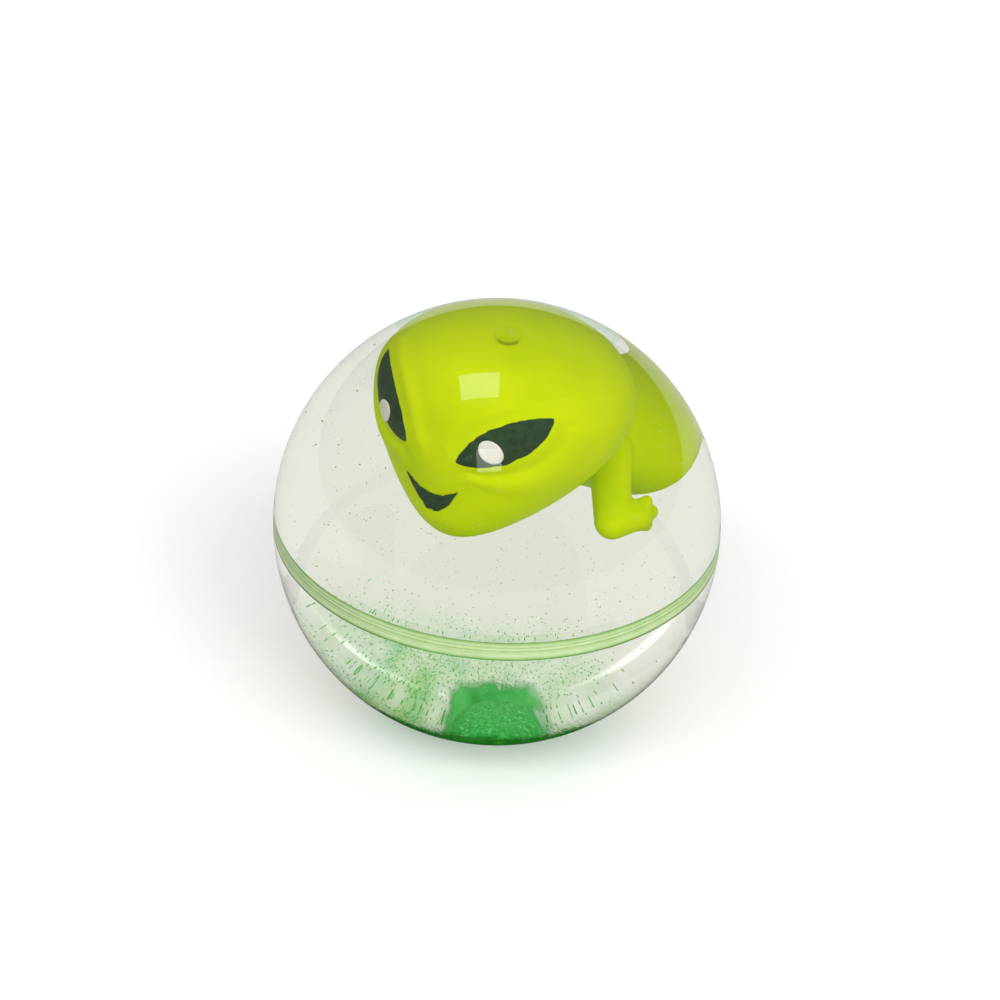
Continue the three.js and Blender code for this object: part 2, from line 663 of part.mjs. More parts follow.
// Finishes
const finish = (color, roughness, metalness = 0) => {
  return new THREE.MeshStandardMaterial({ color, roughness, metalness });
};
const clear = (color, opacity) => {
  return new THREE.MeshStandardMaterial({ color, roughness: 0.05, metalness: 0, transparent: true, opacity });
};
const clearSoftPlastic = clear(0xe3ead6, 0.3);
const water = clear(0xdfe8d2, 0.2);
const seamGreen = finish(0xb9d49a, 0.35);
const glitter = finish(0x45b04e, 0.45);
const limeVinyl = finish(0xb8d40a, 0.35);
const sealRubber = finish(0xd8dcc8, 0.6);
const clearCase = clear(0xf2f4f0, 0.35);
const boardGreen = finish(0x1f6a3a, 0.5);
const chipBlack = finish(0x16181a, 0.4);
const cellSteel = finish(0xc9ccce, 0.25, 1);
const contactBrass = finish(0xc8a04a, 0.3, 1);
const springSteel = finish(0xb4b8bc, 0.3, 1);
const lampRed = finish(0xd8322a, 0.2);
const lampBlue = finish(0x2f62d8, 0.2);

// Puts a named piece into a group
function place(group, name, geometry, material) {
  const piece = new THREE.Mesh(geometry, material);
  piece.name = name;
  group.add(piece);
}

// The ball's pieces stand about its centre, the figure's about its head, the flasher's along the spine
const ball = new THREE.Group();
const figure = new THREE.Group();
const spine = new THREE.Group();
ball.position.z = CENTRE_HEIGHT;
figure.rotation.set(-FIGURE_PITCH, 0, FIGURE_YAW, "ZYX");
const turned = new THREE.Matrix4().makeRotationFromEuler(figure.rotation);
figure.position.set(FIGURE_ACROSS, FIGURE_BACK, floatHeight(turned));
figure.updateMatrix();
spine.applyMatrix4(spineMatrix);
figure.add(spine);
ball.add(figure);

place(ball, "upper_shell", upperShell(), clearSoftPlastic);
place(ball, "lower_shell", lowerShell(), clearSoftPlastic);
place(ball, "seam_ring", seamRing(), seamGreen);
place(ball, "fill_plug", fillPlug(), clearSoftPlastic);
place(ball, "water_fill", waterFill(figure.matrix), water);
place(ball, "glitter_bed", geometryOf(glitterBed()), glitter);

place(figure, "figure_head", figureHead(), limeVinyl);
place(figure, "figure_body", figureBody(), limeVinyl);
place(spine, "base_plug", basePlug(), limeVinyl);
place(spine, "neck_seal", neckSeal(), sealRubber);

place(spine, "module_cup", moduleCup(), clearCase);
place(spine, "module_cap", moduleCap(), clearCase);
for (let cell = 0; cell < CELL_COUNT; cell++) {
  place(spine, `button_cell_${cell + 1}`, buttonCell(firstCell - cell * cellPitch), cellSteel);
}
place(spine, "contact_rear", contactRear(), contactBrass);
place(spine, "contact_front", contactFront(), contactBrass);
place(spine, "circuit_board", bar(BOARD_RADIUS, boardFront, boardBack), boardGreen);
place(spine, "flasher_chip", flasherChip(), chipBlack);
place(spine, "lamp_red", lamp(-LAMP_SPACING / 2), lampRed);
place(spine, "lamp_blue", lamp(LAMP_SPACING / 2), lampBlue);
place(spine, "shock_spring", shockSpring(), springSteel);
place(spine, "shock_pin", shockPin(), contactBrass);

const waterBall = new THREE.Group();
waterBall.add(ball);
console.log(`shock spring: least gap between turns ${springGap().toFixed(2)} mm`);

export default waterBall;
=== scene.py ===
"""Looks of the light-up water ball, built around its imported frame: clear halves with a green seam, water,
glitter and a lime figure that floats under the top wall. Sizes are in millimetres unless a name or a
comment says otherwise."""

import math

import bmesh
import bpy
import numpy as np
from mathutils import Matrix, Vector, noise


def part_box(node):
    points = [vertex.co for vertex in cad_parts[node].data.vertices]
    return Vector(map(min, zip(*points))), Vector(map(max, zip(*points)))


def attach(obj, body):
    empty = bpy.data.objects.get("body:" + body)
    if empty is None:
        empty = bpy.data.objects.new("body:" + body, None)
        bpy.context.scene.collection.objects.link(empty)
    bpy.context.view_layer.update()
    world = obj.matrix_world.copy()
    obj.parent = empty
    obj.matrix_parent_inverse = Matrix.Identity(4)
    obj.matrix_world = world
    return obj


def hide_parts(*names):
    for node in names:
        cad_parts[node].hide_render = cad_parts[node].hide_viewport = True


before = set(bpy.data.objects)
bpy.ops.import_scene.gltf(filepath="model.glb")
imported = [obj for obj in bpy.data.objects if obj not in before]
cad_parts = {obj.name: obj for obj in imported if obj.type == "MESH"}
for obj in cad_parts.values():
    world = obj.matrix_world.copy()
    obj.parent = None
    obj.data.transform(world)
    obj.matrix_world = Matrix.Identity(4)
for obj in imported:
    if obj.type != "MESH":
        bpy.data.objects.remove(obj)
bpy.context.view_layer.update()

# Driving sizes of the ball; its radius, its centre and the seam's height come from the frame
MM = 0.001
seam_low, seam_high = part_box("seam_ring")
BALL_RADIUS = (seam_high.x - seam_low.x) / 2 / MM
CENTRE_HEIGHT = (seam_low.z + seam_high.z) / 2 / MM
SEAM_HEIGHT = (seam_high.z - seam_low.z) / MM
WALL = 3.0
WATER_GAP = 0.15
INNER_RADIUS = BALL_RADIUS - WALL
WATER_RADIUS = INNER_RADIUS - WATER_GAP
REST_FLAT_RADIUS = 4.0
JOIN_GAP = 0.02

# Grooves of the seam band, by their heights from its middle, and its rounded edges
SEAM_GROOVES = (-0.42, 0.05, 0.62)
SEAM_GROOVE_WIDTH = 0.14
SEAM_GROOVE_DEPTH = 0.12
SEAM_EDGE_ROUND = 0.16

# Fill plug at the top pole
PLUG_RADIUS = 2.0
PLUG_STEM_RADIUS = 1.3
PLUG_HEAD_HEIGHT = 1.2
PLUG_DISH_DEPTH = 0.42

# Settled glitter: a thin layer on the wall and a mound off its middle
BED_RADIUS = 12.4
BED_LAYER = 0.35
BED_LEAST = 0.04
BED_EDGE_RINGS = 6
BED_FLOOR_RADIUS = 29.2
MOUND_MIDDLE = (1.2, 6.4)
MOUND_RADIUS = 5.6
MOUND_TOP = -23.95
MOUND_DROP = 3.4
MOUND_SOFTNESS = 0.3

# Head of the figure: an egg, wider and deeper towards the crown; the face looks along -Y
HEAD_HALF = (13.9, 16.25, 14.0)
HEAD_TAPER = (0.39, 0.47)
HEAD_WALL = 1.8
HEAD_PLACE = (-1.7, 3.5, 43.96)
FIGURE_YAW = math.radians(-31.6)
FIGURE_PITCH = math.radians(32.8)

# Face, in its own plane: across, up
EYE_INNER = np.array([3.5, -4.0])
EYE_OUTER = np.array([12.4, 5.6])
EYE_UPPER_BULGE = 1.2
EYE_LOWER_BULGE = 2.9
EYE_BLUNTNESS = 0.75
LEFT_PUPIL = (8.3, -1.8)
RIGHT_PUPIL = (7.4, -1.2)
PUPIL_HALF = (1.35, 1.5)
MOUTH_HALF_WIDTH = 3.5
MOUTH_CORNER_HEIGHT = -8.0
MOUTH_UPPER_SAG = 1.4
MOUTH_LOWER_SAG = 3.3
PAINT_LIFT = 0.03
PAINT_THICKNESS = 0.15

# Ragged edges of the paint: waves of (height, frequency, layer), how fast they start, and their seeds
PAINT_WAVES = ((0.16, 9, 0.0), (0.09, 31, 4.0))
PAINT_EDGE_START = 8
EYE_EDGE_SEEDS = (2.0, 7.0)
MOUTH_EDGE_SEEDS = (11.0, 15.0)

# Relief of the face: ridges by the eyes (height, place, width) and knobs (height, place, across, up)
BROW = (0.45, 2.0, 1.0)
EYE_CREASE = (-0.28, -1.3, 0.5)
EYE_POUCH = (0.3, -2.6, 1.0)
EYE_SWELL = (0.5, 0.0, 2.2)
NOSE = (0.5, -5.6, 2.6, 2.4)
LIP = (0.25, -12.2, 3.0, 1.0)
RIDGE_SHARES = (-0.4, 1.4)
RIDGE_FADE = (0.45, 0.2)
FACE_FADE = 0.35

# Torso and arms, along the spine: across, back, up
SPINE_TILT = math.radians(6)
SPINE_RISE = 1.0
TORSO_STATIONS = (9.0, 17.3, 25.6)
TORSO_HALVES = ((5.6, 5.5), (7.1, 5.4), (8.5, 5.2))
TORSO_SIDEWAYS_LEAN = 0.058
TORSO_EDGE_ROUND = 0.8
TORSO_WALL = 1.6
LID_THICKNESS = 1.5
LID_GAP = 0.3
LID_EDGE_ROUND = 0.25
LID_SEAT_BEYOND = 1.0
SHOULDER = (6.8, 16.4, -0.4)
ELBOW = (10.8, 15.6, -6.8)
WRIST = (11.5, 17.2, -5.8)
ARM_RADII = (2.3, 1.95, 1.65)
FIST_RADIUS = 1.7
FINGERS = 3
FINGER_RADIUS = 0.75
SKIN_VOXEL = 0.22
SKIN_SMOOTHING = 14
SKIN_SOFTNESS = 0.5
HEAD_SEAT_GAP = 0.05

# Flakes: loose in the water, fine ones on the wall at the back and coarse ones on the wall at the front
FLAKE_THICKNESS = 0.03
FLAKE_SIZES = (0.55, 1.25)
FLOATING_FLAKES = 2600
FLOATING_FLAKE_RADIUS = 0.08
FLOATING_FLAKE_GAP = 1.0
HEAD_CLEARANCE = 1.06
BODY_CLEARANCE = (14.5, 9.5)
BACK_FLAKE_RADIUS = 0.058
BACK_FLAKE_DENSITY = 200.0
BACK_FLAKES_IN_DUST = 0.25
BACK_FLAKES_AROUND = 0.01
FRONT_FLAKE_RADIUS = 0.2
FRONT_FLAKE_DENSITY = 20.0
WALL_FLAKE_REACH = 22.0
WALL_FLAKE_TILT = 0.35
WALL_FLAKE_RADIUS = 29.22
SEED = 7

# Films of the finest glitter on the wall: a drift and pale dust at the back, and deep green at the front
DUST_THICKNESS = 0.02
DUST_LEAST = 0.004
DUST_RADIUS = 29.27
DUST_MIDDLE = (-0.5, 13.2)
DUST_HALO = (10.5, 4.6)
DUST_COVER = 0.55
DUST_MIDDLE_SHARE = 0.75
DUST_LEAN = 0.5
DUST_LEVEL = 0.62
DRIFT_WALL_RADIUS = 29.1
DRIFT_MIDDLE = (0.6, 12.0)
DRIFT_RADIUS = 2.4
DRIFT_HALF = (3.6, 2.6)
DRIFT_COVER = 0.93
DRIFT_FADE = 0.12
FILM_START = 11.5
FILM_REACH = 21.4
FILM_FADES = (3.0, 2.8, 6.0)

# Soft noises of the glitter: waves of (height, frequency, layer)
BED_LUMPS = ((0.12, 0.5, 1.0), (0.06, 1.6, 5.0))
DUST_PATCHES = ((0.75, 0.5, 9.0), (0.35, 1.5, 3.0))
DRIFT_EDGE = ((0.16, 0.8, 12.0), (0.1, 2.3, 7.0))
FILM_EDGE = ((0.9, 0.4, 2.0), (0.9, 1.7, 6.0))

# Fineness of the meshes: steps, and grids of rings and sides or rows and columns
ROUND_SEGMENTS = 224
ARC_STEPS = 112
PLUG_STEPS = 40
SEAM_STEPS = 90
BED_GRID = (72, 144)
WALL_GRID = (60, 180)
EYE_GRID = (17, 81)
PUPIL_GRID = (9, 49)
MOUTH_GRID = (11, 61)
OVAL_SIDES = 72
TORSO_STEPS = 30
TORSO_EDGE_STEPS = 6
LID_EDGE_STEPS = 3
ARM_BEADS = (9, 5)
POLE_RADIUS = 1e-9
MERGE_METRES = 1e-8
SHARP_ANGLE = math.radians(40)

# Globes: segments and rings
HEAD_GLOBE = (200, 150)
HEAD_INSIDE_GLOBE = (64, 48)
HEAD_SEAT_GLOBE = (120, 90)
BEAD_GLOBE = (20, 12)

# Camera of the photograph, which looks along +Y; its frame is 1000 pixels square
CAMERA_DISTANCE = 1000.0
CAMERA_ELEVATION = math.radians(34.5)
CAMERA_ROLL = math.radians(3.5)
CAMERA_LENS = 248.0
CAMERA_CLIP_METRES = 0.01
FRAME_PIXELS = 1000
BALL_CENTRE_PIXEL = (497.0, 521.5)

# Floor: its strengths near the ball and away from it, between two distances in metres; the low strengths near
# the ball are painted shade round the contact
FLOOR_DROP = 0.05
FLOOR_SIZE = 4000.0
# Glow that is lower near the ball: painted shade round the contact
FLOOR_GLOW = (0.115, 0.34)
GLOW_REACH = (0.03, 0.11)
# Floor as the ball mirrors it, dark near the contact: a painted contact shadow in the ball's reflection
FLOOR_MIRRORED = (0.01, 0.65)
CONTACT_SHADE = (0.02, 0.06)
FLOOR_THROUGH_BALL = 0.9
FLOOR_WHITE = (0.9, 0.9, 0.9, 1.0)

# Painted spots of light on the floor, seen only through the ball, where a real ball would gather light:
# middle and radius in metres
PAINTED_SPOT_STRENGTH = 1.5
PAINTED_LIGHT_SPOTS = (((0.0132, 0.0764, 0.0), 0.014), ((-0.0126, 0.0648, 0.0), 0.01))

# Strength of the white room for each kind of ray
WORLD_LIGHT = 0.42
WORLD_MIRRORED = 0.08
WORLD_THROUGH_BALL = 1.0
WORLD_SEEN = 1.0

# Lamps and softboxes: direction from the ball, distance and sides in metres, turn and radiance
KEY_LAMP = ((0.0, -0.643, 0.766), 1.5, (2.0, 0.3), 0.0, 9.5)
FILL_LAMP = ((0.5, -0.8, 0.33), 1.5, (0.6, 0.6), 0.0, 8.3)
OVERHEAD_SOFTBOX = ((-0.18, 0.307, 0.935), 1.6, (0.45, 0.45), math.radians(61), 2.6)
FRONT_SOFTBOX = ((-0.099, -0.416, 0.904), 1.5, (0.31, 0.31), math.radians(16), 3.0)

# Finishes of the flasher: colour, roughness, metal, and the nodes that have it
FLASHER_FINISHES = {
    "flasher_case": ((0.72, 0.75, 0.72, 1), 0.15, 0.0, ("module_cup", "module_cap")),
    "cell_steel": ((0.6, 0.61, 0.62, 1), 0.28, 1.0, ("button_cell_1", "button_cell_2", "button_cell_3")),
    "contact_brass": ((0.58, 0.36, 0.08, 1), 0.3, 1.0, ("contact_rear", "contact_front", "shock_pin")),
    "spring_wire": ((0.46, 0.48, 0.5, 1), 0.3, 1.0, ("shock_spring",)),
    "board_green": ((0.02, 0.14, 0.05, 1), 0.45, 0.0, ("circuit_board",)),
    "chip_black": ((0.012, 0.012, 0.014, 1), 0.35, 0.0, ("flasher_chip",)),
    "lamp_red": ((0.68, 0.03, 0.02, 1), 0.12, 0.0, ("lamp_red",)),
    "lamp_blue": ((0.03, 0.12, 0.68, 1), 0.12, 0.0, ("lamp_blue",)),
    "seal_rubber": ((0.7, 0.73, 0.6, 1), 0.6, 0.0, ("neck_seal",)),
}
PART_GRAIN = 900.0

# Indices of refraction; those of the lime, the paint and the glitter are low because they lie in water
VINYL_INDEX = 1.5
WATER_INDEX = 1.335
LIME_INDEX = 1.1
WET_INDEX = 1.16

# Numbers of the ball's finishes in its pieces
OUTSIDE, INSIDE, JOIN, SKIN = 0, 1, 2, 3

WHITE = (1.0, 1.0, 1.0, 1.0)

# Places of the ball, the figure and its spine in metres
BALL = Matrix.Translation((0, 0, CENTRE_HEIGHT * MM)) @ Matrix.Scale(MM, 4)
FIGURE_TURN = Matrix.Rotation(FIGURE_YAW, 4, "Z") @ Matrix.Rotation(-FIGURE_PITCH, 4, "X")
FIGURE = Matrix.Scale(MM, 4) @ Matrix.Translation(HEAD_PLACE) @ FIGURE_TURN
SPINE = FIGURE @ Matrix.Translation((0, 0, SPINE_RISE)) @ Matrix.Rotation(-SPINE_TILT, 4, "X")


# Shader helpers

def colour(red, green, blue):
    """Scene colour of an 8-bit display colour."""
    def linear(value):
        share = value / 255
        return share / 12.92 if share <= 0.04045 else ((share + 0.055) / 1.055) ** 2.4
    return (linear(red), linear(green), linear(blue), 1.0)


def new_material(name):
    """Empty node material and its tree."""
    material = bpy.data.materials.new(name)
    material.use_nodes = True
    tree = material.node_tree
    tree.nodes.clear()
    return material, tree


def add_node(tree, kind, inputs=None, **settings):
    """Node of a kind, with its settings and the values or links of its inputs."""
    made = tree.nodes.new(kind)
    for name, value in settings.items():
        setattr(made, name, value)
    for name, value in (inputs or {}).items():
        if isinstance(value, bpy.types.NodeSocket):
            tree.links.new(value, made.inputs[name])
        else:
            made.inputs[name].default_value = value
    return made


def shown(material, shader, volume=None):
    """Material with a shader node on its surface, and a volume node inside where one is given."""
    tree = material.node_tree
    output = tree.nodes.new("ShaderNodeOutputMaterial")
    tree.links.new(shader.outputs[0], output.inputs["Surface"])
    if volume is not None:
        tree.links.new(volume.outputs[0], output.inputs["Volume"])
    return material


def coated(material, inputs):
    """Material with one all-round shader of these inputs on its surface."""
    return shown(material, add_node(material.node_tree, "ShaderNodeBsdfPrincipled", inputs))


def mixed_shader(tree, factor, plain, other):
    """Shader node that is the plain one where a factor is 0, and the other one where it is 1."""
    return add_node(tree, "ShaderNodeMixShader", {"Fac": factor, 1: plain.outputs[0], 2: other.outputs[0]})


def light_path(tree):
    """Sockets that tell the kinds of rays apart."""
    return add_node(tree, "ShaderNodeLightPath").outputs


def object_place(tree):
    """Socket of the place on the object, in metres."""
    return add_node(tree, "ShaderNodeTexCoord").outputs["Object"]


def noise_field(tree, scale, detail=2.0, roughness=0.5):
    """Socket of a soft noise between 0 and 1."""
    inputs = {"Vector": object_place(tree), "Scale": scale, "Detail": detail, "Roughness": roughness}
    return add_node(tree, "ShaderNodeTexNoise", inputs).outputs["Fac"]


def ramp(tree, factor, stops):
    """Colour ramp over a factor, from (position, colour) stops."""
    made = add_node(tree, "ShaderNodeValToRGB", {"Fac": factor})
    elements = made.color_ramp.elements
    while len(elements) < len(stops):
        elements.new(0.5)
    for element, (position, tone) in zip(elements, stops):
        element.position = position
        element.color = tone
    return made.outputs["Color"]


def spread(tree, factor, low, high, start=0.0, end=1.0, smooth=False):
    """Socket that maps a factor from start..end onto low..high."""
    inputs = {"Value": factor, "From Min": start, "From Max": end, "To Min": low, "To Max": high}
    kind = "SMOOTHSTEP" if smooth else "LINEAR"
    return add_node(tree, "ShaderNodeMapRange", inputs, interpolation_type=kind).outputs["Result"]


def bump(tree, height, strength, distance):
    """Normal socket of a bump; its distance is in metres."""
    inputs = {"Height": height, "Strength": strength, "Distance": distance}
    return add_node(tree, "ShaderNodeBump", inputs).outputs["Normal"]


# Finishes

def clear_surface(name, index, tint, lamp_share):
    """Clear face that bends light by an index and lets a share of the lamps' light through."""
    material, tree = new_material(name)
    glass = add_node(tree, "ShaderNodeBsdfPrincipled", {
        "Base Color": tint,
        "Roughness": spread(tree, noise_field(tree, 260.0, 4.0), 0.0, 0.012),
        "IOR": index,
        "Transmission Weight": 1.0,
    })
    through = add_node(tree, "ShaderNodeBsdfTransparent", {"Color": lamp_share})
    return shown(material, mixed_shader(tree, light_path(tree)["Is Shadow Ray"], glass, through))


def clear_outside():
    """Outer face of the clear vinyl, against air."""
    return clear_surface("clear_vinyl_outside", VINYL_INDEX, (0.985, 0.993, 0.97, 1), (0.65, 0.585, 0.66, 1))


def clear_inside():
    """Inner face of the clear vinyl, against the water."""
    return clear_surface("clear_vinyl_inside", VINYL_INDEX / WATER_INDEX, WHITE, WHITE)


def clear_join():
    """Faces where vinyl lies welded on vinyl, so light goes straight on."""
    material, tree = new_material("clear_vinyl_join")
    haze = ramp(tree, noise_field(tree, 180.0), [(0.3, (0.99, 0.995, 0.98, 1)), (0.7, WHITE)])
    return shown(material, add_node(tree, "ShaderNodeBsdfTransparent", {"Color": haze}))


def water_finish():
    """Water with a faint green tint that deepens with the way through it."""
    material, tree = new_material("water")
    skin = ramp(tree, noise_field(tree, 60.0), [(0.3, (0.985, 0.99, 0.975, 1)), (0.7, WHITE)])
    through = add_node(tree, "ShaderNodeBsdfTransparent", {"Color": skin})
    tint = add_node(tree, "ShaderNodeVolumeAbsorption", {"Color": (0.75, 0.787, 0.543, 1.0), "Density": 8.0})
    return shown(material, through, tint)


def seam_finish():
    """Pale green welded band with darker lines along its grooves and edges."""
    material, tree = new_material("seam_green")
    parts = add_node(tree, "ShaderNodeSeparateXYZ", {"Vector": object_place(tree)})
    low = (CENTRE_HEIGHT - SEAM_HEIGHT / 2) * MM
    high = (CENTRE_HEIGHT + SEAM_HEIGHT / 2) * MM
    height = spread(tree, parts.outputs["Z"], 0.0, 1.0, low, high)
    pale = colour(172, 192, 144)
    green = colour(146, 176, 110)
    dark = colour(118, 156, 84)
    bands = ramp(tree, height, [
        (0.0, dark), (0.07, dark), (0.11, green), (0.2, pale), (0.42, pale), (0.5, green), (0.56, pale),
        (0.66, pale), (0.72, green), (0.8, pale), (0.9, green), (0.96, dark),
    ])
    streaks = ramp(tree, noise_field(tree, 420.0, 3.0), [(0.3, (0.86, 0.9, 0.82, 1)), (0.65, WHITE)])
    inputs = {"Factor": 1.0, "A": bands, "B": streaks}
    mixed = add_node(tree, "ShaderNodeMix", inputs, data_type="RGBA", blend_type="MULTIPLY")
    return coated(material, {
        "Base Color": mixed.outputs["Result"],
        "Roughness": spread(tree, noise_field(tree, 300.0), 0.25, 0.4),
    })


def lime_finish():
    """Lime moulded vinyl with a soft mottle; it lies in water, so it shines little."""
    material, tree = new_material("lime_vinyl")
    lime = ramp(tree, noise_field(tree, 110.0, 3.0), [(0.3, colour(196, 223, 0)), (0.7, colour(209, 231, 6))])
    return coated(material, {
        "Base Color": lime,
        "Roughness": spread(tree, noise_field(tree, 700.0), 0.38, 0.5),
        "IOR": LIME_INDEX,
        "Normal": bump(tree, noise_field(tree, 1500.0, 3.0), 0.12, 0.0002),
    })


def paint_finish(name, light, dark):
    """Brushed paint of two close tones."""
    material, tree = new_material(name)
    return coated(material, {
        "Base Color": ramp(tree, noise_field(tree, 900.0, 4.0, 0.65), [(0.35, dark), (0.65, light)]),
        "Roughness": 0.5,
        "IOR": WET_INDEX,
        "Normal": bump(tree, noise_field(tree, 2200.0), 0.2, 0.0001),
    })


def glitter_bed_finish():
    """Packed flakes: small cells that differ in tone and tilt."""
    material, tree = new_material("glitter_bed")
    cells = add_node(tree, "ShaderNodeTexVoronoi", {"Vector": object_place(tree), "Scale": 7000.0})
    parts = add_node(tree, "ShaderNodeSeparateColor", {"Color": cells.outputs["Color"]})
    tones = ramp(tree, parts.outputs["Red"], [
        (0.0, colour(46, 174, 72)), (0.5, colour(66, 196, 92)), (0.93, colour(88, 212, 110)),
        (1.0, colour(130, 228, 155)),
    ])
    return coated(material, {
        "Base Color": tones,
        "Roughness": spread(tree, parts.outputs["Green"], 0.45, 0.65),
        "IOR": WET_INDEX,
        "Normal": bump(tree, parts.outputs["Blue"], 0.06, 0.0001),
    })


def flake_finish(name, dark, middle, light):
    """Single flakes, each with its own tone and a few of them bright."""
    material, tree = new_material(name)
    own = add_node(tree, "ShaderNodeAttribute", attribute_name="tone").outputs["Fac"]
    bright = colour(205, 240, 225)
    return coated(material, {
        "Base Color": ramp(tree, own, [(0.0, dark), (0.5, middle), (0.9, light), (0.98, bright)]),
        "Metallic": spread(tree, own, 0.0, 0.3),
        "Roughness": 0.4,
        "IOR": WET_INDEX,
    })


def dust_finish(name, *tones):
    """Film of the finest glitter, which lets the wall behind it show where it is thin."""
    material, tree = new_material(name)
    stops = list(zip((0.35, 0.5, 0.65), tones))
    return coated(material, {
        "Base Color": ramp(tree, noise_field(tree, 420.0, 3.0), stops),
        "Roughness": spread(tree, noise_field(tree, 2500.0), 0.45, 0.7),
        "IOR": WET_INDEX,
        "Alpha": add_node(tree, "ShaderNodeAttribute", attribute_name="share").outputs["Fac"],
    })


def part_finish(name, tone, roughness, metallic):
    """Plain finish of an inner piece, with a fine grain in tone and roughness."""
    material, tree = new_material(name)
    grain = noise_field(tree, PART_GRAIN, 3.0)
    darker = tuple(value * 0.82 for value in tone[:3]) + (1.0,)
    return coated(material, {
        "Base Color": ramp(tree, grain, [(0.3, darker), (0.7, tone)]),
        "Metallic": metallic,
        "Roughness": spread(tree, grain, roughness * 0.8, roughness * 1.2),
    })


# Mesh helpers

def put(name, data):
    """Object of a mesh, a lamp or a camera, in the scene."""
    made = bpy.data.objects.new(name, data)
    bpy.context.scene.collection.objects.link(made)
    return made


def shade(mesh):
    """Shades a mesh smooth between its sharp edges."""
    mesh.shade_smooth()
    mesh.set_sharp_from_angle(angle=SHARP_ANGLE)


def new_piece(name, points, faces, place, materials, face_materials=None):
    """Piece made of points in millimetres, put in its place, with faces that point outwards."""
    mesh = bpy.data.meshes.new(name)
    mesh.from_pydata([tuple(point) for point in points], [], faces)
    for material in materials:
        mesh.materials.append(material)
    if face_materials is not None:
        mesh.polygons.foreach_set("material_index", face_materials)
    mesh.transform(place)
    tidy = bmesh.new()
    tidy.from_mesh(mesh)
    bmesh.ops.remove_doubles(tidy, verts=tidy.verts, dist=MERGE_METRES)
    bmesh.ops.recalc_face_normals(tidy, faces=tidy.faces)
    tidy.to_mesh(mesh)
    tidy.free()
    shade(mesh)
    return put(name, mesh)


def settle(piece):
    """Turns a piece's modifiers into its plain mesh."""
    before = piece.data
    ready = piece.evaluated_get(bpy.context.evaluated_depsgraph_get())
    mesh = bpy.data.meshes.new_from_object(ready)
    piece.modifiers.clear()
    piece.data = mesh
    mesh.name = piece.name
    bpy.data.meshes.remove(before)


def thicken(piece, thickness, side):
    """Gives a sheet a thickness, on its outer side (1) or its inner side (-1)."""
    coat = piece.modifiers.new("coat", "SOLIDIFY")
    coat.thickness = thickness * MM
    coat.offset = side
    settle(piece)


def declare(piece, body, slot, *nodes):
    """Tells the frame which body a piece rides on and the nodes that it stands for; the slot, its finish, is
    not used.
    """
    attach(piece, body)
    if nodes:
        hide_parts(*nodes)


def revolve(profile, segments):
    """Points and faces of a closed body of revolution from (radius, height, finish of the next stretch)."""
    points = []
    rings = []
    for radius, height, _ in profile:
        start = len(points)
        if radius < POLE_RADIUS:
            points.append((0.0, 0.0, height))
            rings.append([start] * segments)
            continue
        for i in range(segments):
            angle = 2 * math.pi * i / segments
            points.append((radius * math.cos(angle), radius * math.sin(angle), height))
        rings.append(list(range(start, start + segments)))
    closed = profile[0][0] > POLE_RADIUS
    faces = []
    finishes = []
    for k in range(len(rings) if closed else len(rings) - 1):
        lower = rings[k]
        upper = rings[(k + 1) % len(rings)]
        for i in range(segments):
            j = (i + 1) % segments
            corners = dict.fromkeys((lower[i], lower[j], upper[j], upper[i]))
            if len(corners) > 2:
                faces.append(tuple(corners))
                finishes.append(profile[k][2])
    return points, faces, finishes


def arc(radius, start, end, finish):
    """Profile points on an arc about the ball's centre, between two elevations."""
    angles = np.linspace(start, end, ARC_STEPS + 1)
    return [(radius * math.cos(angle), radius * math.sin(angle), finish) for angle in angles]


def grid_faces(rows, columns, wrap=False):
    """Faces of a grid of points, numbered row by row."""
    faces = []
    for row in range(rows - 1):
        for column in range(columns if wrap else columns - 1):
            beside = (column + 1) % columns
            near = row * columns
            far = near + columns
            faces.append((near + column, near + beside, far + beside, far + column))
    return faces


def grid_shares(rows, columns):
    """Shares of the way up and along a grid, row by row."""
    for row in range(rows):
        for column in range(columns):
            yield row / (rows - 1), column / (columns - 1)


def disc_places(reach, rings, sides):
    """Places on a disc round its middle: number of the ring outwards, distance from the middle, x and y."""
    for ring in range(1, rings + 1):
        away = reach * ring / rings
        for side in range(sides):
            angle = 2 * math.pi * side / sides
            yield ring, away, away * math.cos(angle), away * math.sin(angle)


def ripple(x, y, level, waves):
    """Soft noise about a level at a place, from waves of (height, frequency, layer)."""
    for height, frequency, layer in waves:
        level += height * noise.noise((x * frequency, y * frequency, layer))
    return level


def clamp(value):
    """Value kept between 0 and 1."""
    return min(max(value, 0.0), 1.0)


# Ball

def joined(profile):
    """Profile that goes on from its last point with a welded face."""
    return profile[:-1] + [profile[-1][:2] + (JOIN,)]


def make_round(name, profile, finishes, segments=ROUND_SEGMENTS):
    """Piece of revolution about the ball's upright axis."""
    points, faces, kinds = revolve(profile, segments)
    return new_piece(name, points, faces, BALL, finishes, kinds)


def make_upper_shell(finishes):
    """Upper half, with the stepped hole for the plug."""
    edge = SEAM_HEIGHT / 2 + JOIN_GAP
    hole = PLUG_RADIUS + JOIN_GAP
    stem_hole = PLUG_STEM_RADIUS + JOIN_GAP
    seat = BALL_RADIUS - PLUG_HEAD_HEIGHT
    outer = arc(BALL_RADIUS, math.asin(edge / BALL_RADIUS), math.acos(hole / BALL_RADIUS), OUTSIDE)
    step = [(hole, seat, JOIN), (stem_hole, seat, JOIN)]
    inner = arc(INNER_RADIUS, math.acos(stem_hole / INNER_RADIUS), math.asin(edge / INNER_RADIUS), INSIDE)
    piece = make_round("upper_half", joined(outer) + step + joined(inner), finishes)
    declare(piece, "shell", "clear_vinyl", "upper_shell")


